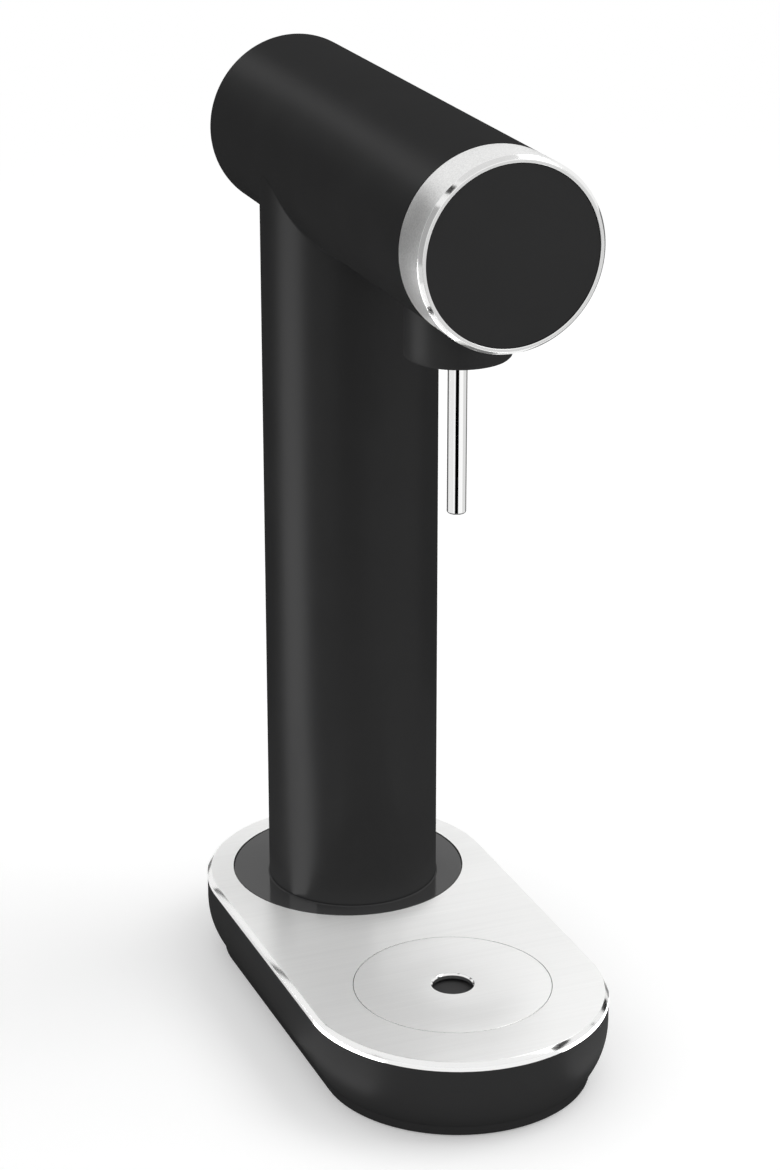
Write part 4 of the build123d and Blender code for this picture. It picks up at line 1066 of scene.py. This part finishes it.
SPRINGS = (
    Spring("plunger_spring", "plunger_press", Axis.Z, stroke=3.0, fixed_above=False),
    Spring("relief_spring", "relief_open", Axis.X, stroke=1.5, fixed_above=True),
)


class PointTree(NodeBuilder):
    """Geometry Nodes tree that sets one small shape on every given point."""

    def __init__(self, name: str, sizes: dict[str, float], finish: bpy.types.Material) -> None:
        """Start a tree with a named input for each size.

        Args:
            name: The tree's name.
            sizes: Named sizes in metres.
            finish: Material of the shape.
        """
        super().__init__(bpy.data.node_groups.new(name, "GeometryNodeTree"))
        self.name = name
        self._input("Places", "NodeSocketGeometry")
        self.values: dict[str, object] = {
            self._input(label, "NodeSocketFloat"): size for label, size in sizes.items()
        }
        self.values[self._input("Finish", "NodeSocketMaterial")] = finish
        self.tree.interface.new_socket("Pieces", in_out="OUTPUT", socket_type="NodeSocketGeometry")
        self.entry = self.tree.nodes.new("NodeGroupInput")

    def _input(self, label: str, kind: str) -> str:
        """Add a named input and give its identifier."""
        return self.tree.interface.new_socket(label, in_out="INPUT", socket_type=kind).identifier

    def given(self, label: str) -> Term:
        """One of the tree's named inputs."""
        return Term(self, self.entry.outputs[label])

    def lifted(self, shape: Term, height: Value) -> Term:
        """A shape raised along Z by a height."""
        offset = self.node("ShaderNodeCombineXYZ", None, {"Z": height})
        return self.node("GeometryNodeTransform", None, {"Geometry": shape, "Translation": offset})

    def rod(self, sides: int, radius: Term, length: Term, bottom: Value) -> Term:
        """An upright rod or prism.

        Args:
            sides: Corners of its section.
            radius: Radius to its corners.
            length: Its length.
            bottom: Height of its lower end.

        Returns:
            The rod's mesh.
        """
        sizes = {"Vertices": sides, "Radius": radius, "Depth": length}
        upright = self.node("GeometryNodeMeshCylinder", None, sizes)
        return self.lifted(upright, bottom + length * 0.5)

    def circle(self, points: int, radius: Term) -> Term:
        """A flat circle as a curve."""
        return self.node("GeometryNodeCurvePrimitiveCircle", None, {"Resolution": points, "Radius": radius})

    def run(self, shapes: list[Term], places: Sequence[Vector]) -> bpy.types.Object:
        """Close the tree with a shape and turn it into a plain mesh.

        Args:
            shapes: Meshes that make up the shape that every point gets.
            places: The points in metres.

        Returns:
            An object at the origin with no modifier.
        """
        shape = self.node("GeometryNodeJoinGeometry", None, {"Geometry": shapes})
        spread = self.node(
            "GeometryNodeInstanceOnPoints", None, {"Points": self.given("Places"), "Instance": shape}
        )
        real = self.node("GeometryNodeRealizeInstances", None, {"Geometry": spread})
        dressed = self.node(
            "GeometryNodeSetMaterial", None, {"Geometry": real, "Material": self.given("Finish")}
        )
        self.close("NodeGroupOutput", "Pieces", dressed)
        points = bpy.data.meshes.new(self.name)
        points.from_pydata([tuple(place) for place in places], [], [])
        piece = placed(self.name, points)
        modifier = piece.modifiers.new(self.name, "NODES")
        modifier.node_group = self.tree
        for key, value in self.values.items():
            modifier[key] = value
        evaluated = piece.evaluated_get(bpy.context.evaluated_depsgraph_get())
        mesh = bpy.data.meshes.new_from_object(evaluated)
        piece.modifiers.clear()
        piece.data = mesh
        smooth(mesh)
        return piece


def four_places(side_reach: float, end_reach: float, height: float) -> list[Vector]:
    """Four places at the corners of a rectangle about the middle of the base."""
    return [Vector((side * side_reach, end * end_reach, height)) for side in BOTH_SIDES for end in BOTH_SIDES]


@dataclass
class Underside(Dress):
    """Ribbed foot pads and the socket-head screws of the base floor."""

    pad_radius: float = 8.95
    pad_sides: int = 96
    rib_radius: float = 0.4
    rib_count: int = 3
    rib_inset: float = 1.5
    rib_sides: int = 72
    rib_profile_sides: int = 12
    head_radius: float = 3.0
    head_height: float = 2.0
    head_sides: int = 48
    socket_radius: float = 1.5
    socket_depth: float = 1.2
    socket_sides: int = 6
    shank_radius: float = 1.5
    shank_sides: int = 24
    end_screw_reach: float = 37.5

    def _pads(self) -> bpy.types.Object:
        """Build the foot pads.

        Returns:
            The pads as one piece.
        """
        low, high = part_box("foot_pads")
        radius = self.pad_radius * MM
        tree = PointTree("foot_pad_rubber", {
            "Pad Radius": radius,
            "Pad Height": high.z - low.z,
            "Rib Radius": self.rib_radius * MM,
        }, self.palette["pad_rubber"])
        pad, rib = tree.given("Pad Radius"), tree.given("Rib Radius")
        shapes = [tree.rod(self.pad_sides, pad, tree.given("Pad Height") - rib, rib)]
        profile = tree.circle(self.rib_profile_sides, rib)
        outer = pad - rib * self.rib_inset
        for index in range(self.rib_count):
            path = tree.circle(self.rib_sides, outer * ((index + 1) / self.rib_count))
            hoop = tree.node("GeometryNodeCurveToMesh", None, {"Curve": path, "Profile Curve": profile})
            shapes.append(tree.lifted(hoop, rib))
        return tree.run(shapes, four_places(high.x - radius, high.y - radius, low.z))

    def _screws(self) -> bpy.types.Object:
        """Build the floor screws.

        Returns:
            The screws as one piece.
        """
        low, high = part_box("floor_screws")
        head = self.head_radius * MM
        tree = PointTree("floor_screw_steel", {
            "Head Radius": head,
            "Head Height": self.head_height * MM,
            "Socket Radius": self.socket_radius * MM,
            "Socket Depth": self.socket_depth * MM,
            "Shank Radius": self.shank_radius * MM,
            "Shank Length": high.z - low.z - self.head_height * MM,
        }, self.palette["plated_steel"])
        top, depth = tree.given("Head Height"), tree.given("Socket Depth")
        cap = tree.rod(self.head_sides, tree.given("Head Radius"), top, 0.0)
        socket = tree.rod(self.socket_sides, tree.given("Socket Radius"), depth * 2.0, depth * -1.0)
        drilled = tree.node(
            "GeometryNodeMeshBoolean", {"operation": "DIFFERENCE"}, {"Mesh 1": cap, "Mesh 2": socket}
        )
        shank = tree.rod(self.shank_sides, tree.given("Shank Radius"), tree.given("Shank Length"), top)
        ends = four_places(self.end_screw_reach * MM, high.y - head, low.z)
        middles = [Vector((side * (high.x - head), 0.0, low.z)) for side in BOTH_SIDES]
        return tree.run([drilled, shank], ends + middles)

    def build(self) -> None:
        """Build the pads and the screws in place of their CAD nodes."""
        settle(self._pads(), Body.FRAME, Slot.RUBBER, "foot_pads")
        settle(self._screws(), Body.FRAME, Slot.FASTENER, "floor_screws")


@dataclass(frozen=True)
class Softbox:
    """One soft lamp: where it stands, what it lights and how large and strong it is, in metres and watts."""

    name: str
    place: Place
    target: Place
    width: float
    height: float
    power: float
    spares: tuple[str, ...] = ()

    def build(self) -> None:
        """Set the lamp up, with its light kept off the pieces that it spares."""
        lamp = bpy.data.lights.new(self.name, "AREA")
        lamp.shape = "RECTANGLE"
        lamp.size = self.width
        lamp.size_y = self.height
        lamp.energy = self.power
        stand = placed(self.name, lamp)
        stand.visible_camera = False
        stand.location = self.place
        aim = Vector(self.target) - Vector(self.place)
        stand.rotation_euler = aim.to_track_quat("-Z", "Y").to_euler()
        if not self.spares:
            return
        spared = bpy.data.collections.new(f"{self.name}_spares")
        for piece in self.spares:
            spared.objects.link(bpy.data.objects[piece])
        for entry in spared.collection_objects:
            entry.light_linking.link_state = "EXCLUDE"
        stand.light_linking.receiver_collection = spared


def sheet(
    name: str, corners: Sequence[Place], faces: Sequence[tuple[int, ...]], finish: bpy.types.Material
) -> bpy.types.Object:
    """Add a thin sheet of the studio.

    Args:
        name: The sheet's name.
        corners: Its corners in metres.
        faces: Its faces, by the numbers of their corners.
        finish: Its material.

    Returns:
        The sheet's object.
    """
    data = bpy.data.meshes.new(name)
    data.from_pydata(corners, [], faces)
    data.materials.append(finish)
    return placed(name, data)


@dataclass(frozen=True)
class Card:
    """Card that only shows in gloss and bright metal, as a dark flag or a bright reflector does in a studio.

    It spans an angle about a centre, counted from the rear towards the right, and goes from one reach
    and height to another. Cards close round the column glow to paint light onto its foot and paint its
    reflection into the deck and the plinth; a card that fills also lights things near it.
    """

    name: str
    centre: Span
    angles: Span
    reaches: Span
    heights: Span = (0.002, 0.002)
    glow: float = 0.0
    one_sided: bool = False
    fills: bool = False
    steps: int = 12

    def _material(self) -> bpy.types.Material:
        """Black felt, or an even white glow.

        Returns:
            The card's finish.
        """
        shader = Shader(self.name)
        felt = shader.glow(self.glow)
        if not self.one_sided:
            return shader.finished(felt)
        behind = shader.node("ShaderNodeNewGeometry", out="Backfacing")
        clear = shader.node("ShaderNodeBsdfTransparent")
        return shader.finished(shader.blended(behind, felt, clear))

    def build(self) -> None:
        """Set the card up, out of sight of the camera and, unless it fills, of the light that falls on
        things.
        """
        start, end = self.angles
        corners, faces = [], []
        for step in range(self.steps + 1):
            angle = math.radians(start + (end - start) * step / self.steps)
            for reach, height in zip(self.reaches, self.heights):
                x = self.centre[0] + reach * math.sin(angle)
                y = self.centre[1] + reach * math.cos(angle)
                corners.append((x, y, height))
            if step:
                last = 2 * step
                faces.append((last - 2, last, last + 1, last - 1))
        card = sheet(self.name, corners, faces, self._material())
        card.visible_camera = False
        card.visible_diffuse = self.fills
        card.visible_shadow = False
        card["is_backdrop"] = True


@dataclass(frozen=True)
class Screen(Card):
    """Card that shows from one side and is clear from the other."""

    one_sided: bool = True


ALL_ROUND = (0.0, 360.0)
KNOB_FRONT = (0.0, -0.12)
RING_LEFT = (-0.03, -0.12)
RING_FAR_LEFT = (-0.04, -0.12)
RING_RIGHT = (0.03, -0.12)
RING_LEFT_ANGLES = (-108.0, -86.0)
BASE_FRONT = (0.0, -0.067)
BASE_REACHES = (0.078, 0.125)
COLUMN_FOOT = (0.0, 0.0625)
COLUMN_REACHES = (0.041, 0.041)
COLUMN_HEIGHTS = (0.0515, 0.086)
NOZZLE_SPOT = (0.0, -0.0635)
NOZZLE_REACHES = (0.03, 0.03)
NOZZLE_HEIGHTS = (0.25, 0.338)
BEVEL_REACHES = (1.0, 1.0)
STRIP_REACHES = (0.1, 0.1)
STRIP_HEIGHTS = (0.05, 0.09)

LAMPS = (
    Softbox("right_key", (1.3, -0.3, 2.0), (0.0, 0.0, 0.1), width=1.4, height=1.4, power=13.0),
    Softbox(
        "rear_soft", (-0.55, 2.0, 1.15), (0.0, 0.0, 0.4), width=0.9, height=0.55, power=9.5,
        spares=("knob_band", "deck_steel", "coaster_steel", "studio_floor"),
    ),
)

CARDS = (
    Card("rear_floor_flag", (0.0, 0.0), (-45.0, 95.0), (0.36, 5.0), glow=0.17),
    Card("ring_flag", RING_FAR_LEFT, (-40.0, -8.0), (0.6, 0.6), (0.33, 0.62), glow=0.2),
    Card("ring_side_flag", RING_LEFT, RING_LEFT_ANGLES, (1.5, 1.5), (0.0, 1.5), glow=0.42),
    Card("ring_floor_screen", RING_LEFT, RING_LEFT_ANGLES, (0.69, 1.5), glow=0.72),
    Card("overhead_screen", KNOB_FRONT, ALL_ROUND, (0.02, 0.85), (2.0, 2.0), glow=0.8, steps=32),
    Card("front_screen", KNOB_FRONT, (138.0, 176.0), (0.9, 2.2), glow=0.75),
    Card("front_flag", NOZZLE_SPOT, (-177.0, -137.0), (0.45, 1.6)),
    Card("left_reflector", (0.01, -0.02), (-89.0, -53.0), (0.17, 1.85), glow=7.8),
    Card("base_left_reflector", BASE_FRONT, (-118.0, -60.0), BASE_REACHES, glow=5.0),
    Card("base_right_reflector", BASE_FRONT, (50.0, 140.0), BASE_REACHES, glow=6.0),
    # Painted light: a glowing ring just above the plinth that lights the column's foot, where the contact
    # shade falls.
    Screen(
        "foot_fill", COLUMN_FOOT, ALL_ROUND, (0.0411, 0.0545), (0.0416, 0.0416),
        glow=1.1, fills=True, steps=64,
    ),
    # Painted reflection: a glowing strip on the column's foot, seen only in the plinth's gloss, that carries
    # the column's highlight on into the plinth.
    Screen("foot_streak", COLUMN_FOOT, (-111.0, -134.0), (0.0409, 0.0409), (0.0408, 0.0495), glow=0.26),
    Screen("foot_reflector", (-0.028, 0.042), (-108.0, -64.0), (0.009, 0.11), (0.0418, 0.0418), glow=6.6),
    Screen("nozzle_screen_left", NOZZLE_SPOT, (-112.0, -46.0), NOZZLE_REACHES, NOZZLE_HEIGHTS, glow=0.92),
    Screen("nozzle_screen_right", NOZZLE_SPOT, (84.0, 135.0), NOZZLE_REACHES, NOZZLE_HEIGHTS, glow=0.82),
    Screen("nozzle_screen_near", NOZZLE_SPOT, (135.0, 177.0), NOZZLE_REACHES, NOZZLE_HEIGHTS, glow=1.1),
    Screen("tip_flag", NOZZLE_SPOT, ALL_ROUND, (0.003, 0.03), (0.257, 0.257), glow=0.2, steps=32),
    Screen("deck_front_screen", NOZZLE_SPOT, (66.0, -30.0), (0.02, 0.068), (0.091, 0.091), glow=0.1),
    # Painted reflection: glowing sheets close round the column, seen only in gloss, that make the column's
    # reflection in the deck lighter than the column is.
    Screen("deck_rear_fill", COLUMN_FOOT, (165.0, 112.0), COLUMN_REACHES, COLUMN_HEIGHTS, glow=0.92),
    Screen("deck_mid_fill", COLUMN_FOOT, (188.0, 165.0), COLUMN_REACHES, COLUMN_HEIGHTS, glow=0.66),
    Screen("deck_left_fill", COLUMN_FOOT, (245.0, 188.0), COLUMN_REACHES, (0.0515, 0.08), glow=0.28),
    Card("bevel_strip_front", RING_RIGHT, (101.0, 119.0), BEVEL_REACHES, (0.73, 1.0)),
    Card("bevel_strip_side", RING_RIGHT, (80.5, 83.0), BEVEL_REACHES, (0.38, 0.46), glow=0.3),
    Card("bevel_strip_right", RING_RIGHT, (59.0, 69.0), BEVEL_REACHES, (0.1, 0.27)),
    Card("ring_strip_top", RING_LEFT, (-112.0, -90.0), (0.5, 0.5), (1.0, 1.22)),
    Card("ring_strip_low", RING_FAR_LEFT, (-92.0, -64.0), (0.255, 0.325)),
    Card("deck_strip_rear", (-0.0686, 0.067), (-29.5, -26.5), STRIP_REACHES, STRIP_HEIGHTS),
    Card("deck_strip_left", (-0.0686, -0.022), (-31.2, -28.2), STRIP_REACHES, STRIP_HEIGHTS),
)


@dataclass
class Studio:
    """Pale floor, white surroundings, soft lamps and the camera."""

    floor_size: float = 14.0
    floor_tone: Colour = (0.85, 0.85, 0.85)
    floor_glow: float = 0.28
    floor_fill: float = 0.72
    fade_start: float = 0.9
    fade_end: float = 2.0
    ambient: float = 0.78
    camera_place: Place = (-0.499276, -1.238477, 0.734375)
    camera_pitch: float = -0.372625
    camera_heading: float = -0.379502
    camera_range: float = 100.0
    focal_length: float = 97.541

    def _seen(self, tree: NodeBuilder) -> Term:
        """Tell what is looked at from what only lights other things.

        Args:
            tree: The floor's or the surroundings' tree.

        Returns:
            One for rays from the camera, off metal and through glass, and zero for other light.
        """
        camera, glossy, through = (
            tree.node("ShaderNodeLightPath", out=kind)
            for kind in ("Is Camera Ray", "Is Glossy Ray", "Is Transmission Ray")
        )
        return tree.node("ShaderNodeMath", {"operation": "MAXIMUM"}, {0: camera, 1: glossy + through})

    def _level(self, tree: NodeBuilder, unseen: float) -> Term:
        """Full brightness where it is looked at, and a lower one for the light that falls on things."""
        levels = {"Value": self._seen(tree), "To Min": unseen, "To Max": 1.0}
        return tree.node("ShaderNodeMapRange", None, levels)

    def _floor(self) -> None:
        """Lay the floor, white paper that keeps the shadow and fades into the white surroundings."""
        shader = Shader("floor_white")
        paper = shader.node("ShaderNodeBsdfDiffuse", None, {"Color": (*self.floor_tone, 1.0)})
        glow = shader.glow(self._seen(shader) * self.floor_glow)
        near = shader.node("ShaderNodeAddShader", None, {0: paper, 1: glow})
        far = shader.glow(self._level(shader, self.floor_fill))
        length = {"operation": "LENGTH"}
        distance = shader.node("ShaderNodeVectorMath", length, {0: shader.places}, out="Value")
        fade = shader.node(
            "ShaderNodeMapRange",
            {"interpolation_type": "SMOOTHSTEP"},
            {"Value": distance, "From Min": self.fade_start, "From Max": self.fade_end},
        )
        finish = shader.finished(shader.blended(fade, near, far))
        half = self.floor_size / 2
        corners = [(-half, -half, 0.0), (half, -half, 0.0), (half, half, 0.0), (-half, half, 0.0)]
        floor = sheet("studio_floor", corners, [(0, 1, 2, 3)], finish)
        floor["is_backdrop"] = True

    def _surroundings(self) -> None:
        """Make the surroundings white where they are seen, and a soft ambient light elsewhere."""
        world = bpy.data.worlds.new("white_studio")
        world.use_nodes = True
        tree = NodeBuilder(world.node_tree)
        level = self._level(tree, self.ambient)
        white = tree.node("ShaderNodeBackground", None, {"Color": WHITE, "Strength": level})
        tree.close("ShaderNodeOutputWorld", "Surface", white)
        bpy.context.scene.world = world

    def _camera(self) -> None:
        """Set the camera at the photograph's viewing angle."""
        data = bpy.data.cameras.new("front_camera")
        data.lens = self.focal_length
        data.clip_end = self.camera_range
        camera = placed("front_camera", data)
        camera.location = self.camera_place
        camera.rotation_euler = (math.pi / 2 + self.camera_pitch, 0.0, self.camera_heading)
        bpy.context.scene.camera = camera

    def build(self) -> None:
        """Set up the floor, the light and the camera."""
        bpy.context.scene.view_settings.view_transform = "Standard"
        self._floor()
        self._surroundings()
        for thing in (*LAMPS, *CARDS):
            thing.build()
        self._camera()
        LOG.info("studio has %d lamps and %d cards", len(LAMPS), len(CARDS))


def dress_cad(nodes: dict[str, bpy.types.Object], palette: Palette) -> None:
    """Give every CAD node that stays in view its finish.

    Args:
        nodes: The frame's objects by name.
        palette: The finishes by name.
    """
    for finish, names in CAD_FINISHES.items():
        for name in names:
            nodes[name].material_slots[0].material = palette[finish]
        LOG.info("%s dresses %d nodes", finish, len(names))


def main() -> None:
    """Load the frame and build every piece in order."""
    logging.basicConfig(level=logging.INFO, format="%(name)s: %(message)s")
    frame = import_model()
    cad_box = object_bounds()
    half_length = cad_box[1].y / MM
    palette = {finish.name: finish.material() for finish in FINISHES}
    dress_cad(frame["nodes"], palette)
    Deck(palette, half_length).build()
    for dress in (Coaster, Knob, SeamBead, FootBead):
        dress(palette).build()
    for spring in SPRINGS:
        spring.build(frame["nodes"][spring.node], palette["plated_steel"])
    Underside(palette).build()
    Studio().build()


if __name__ == "__main__":
    main()
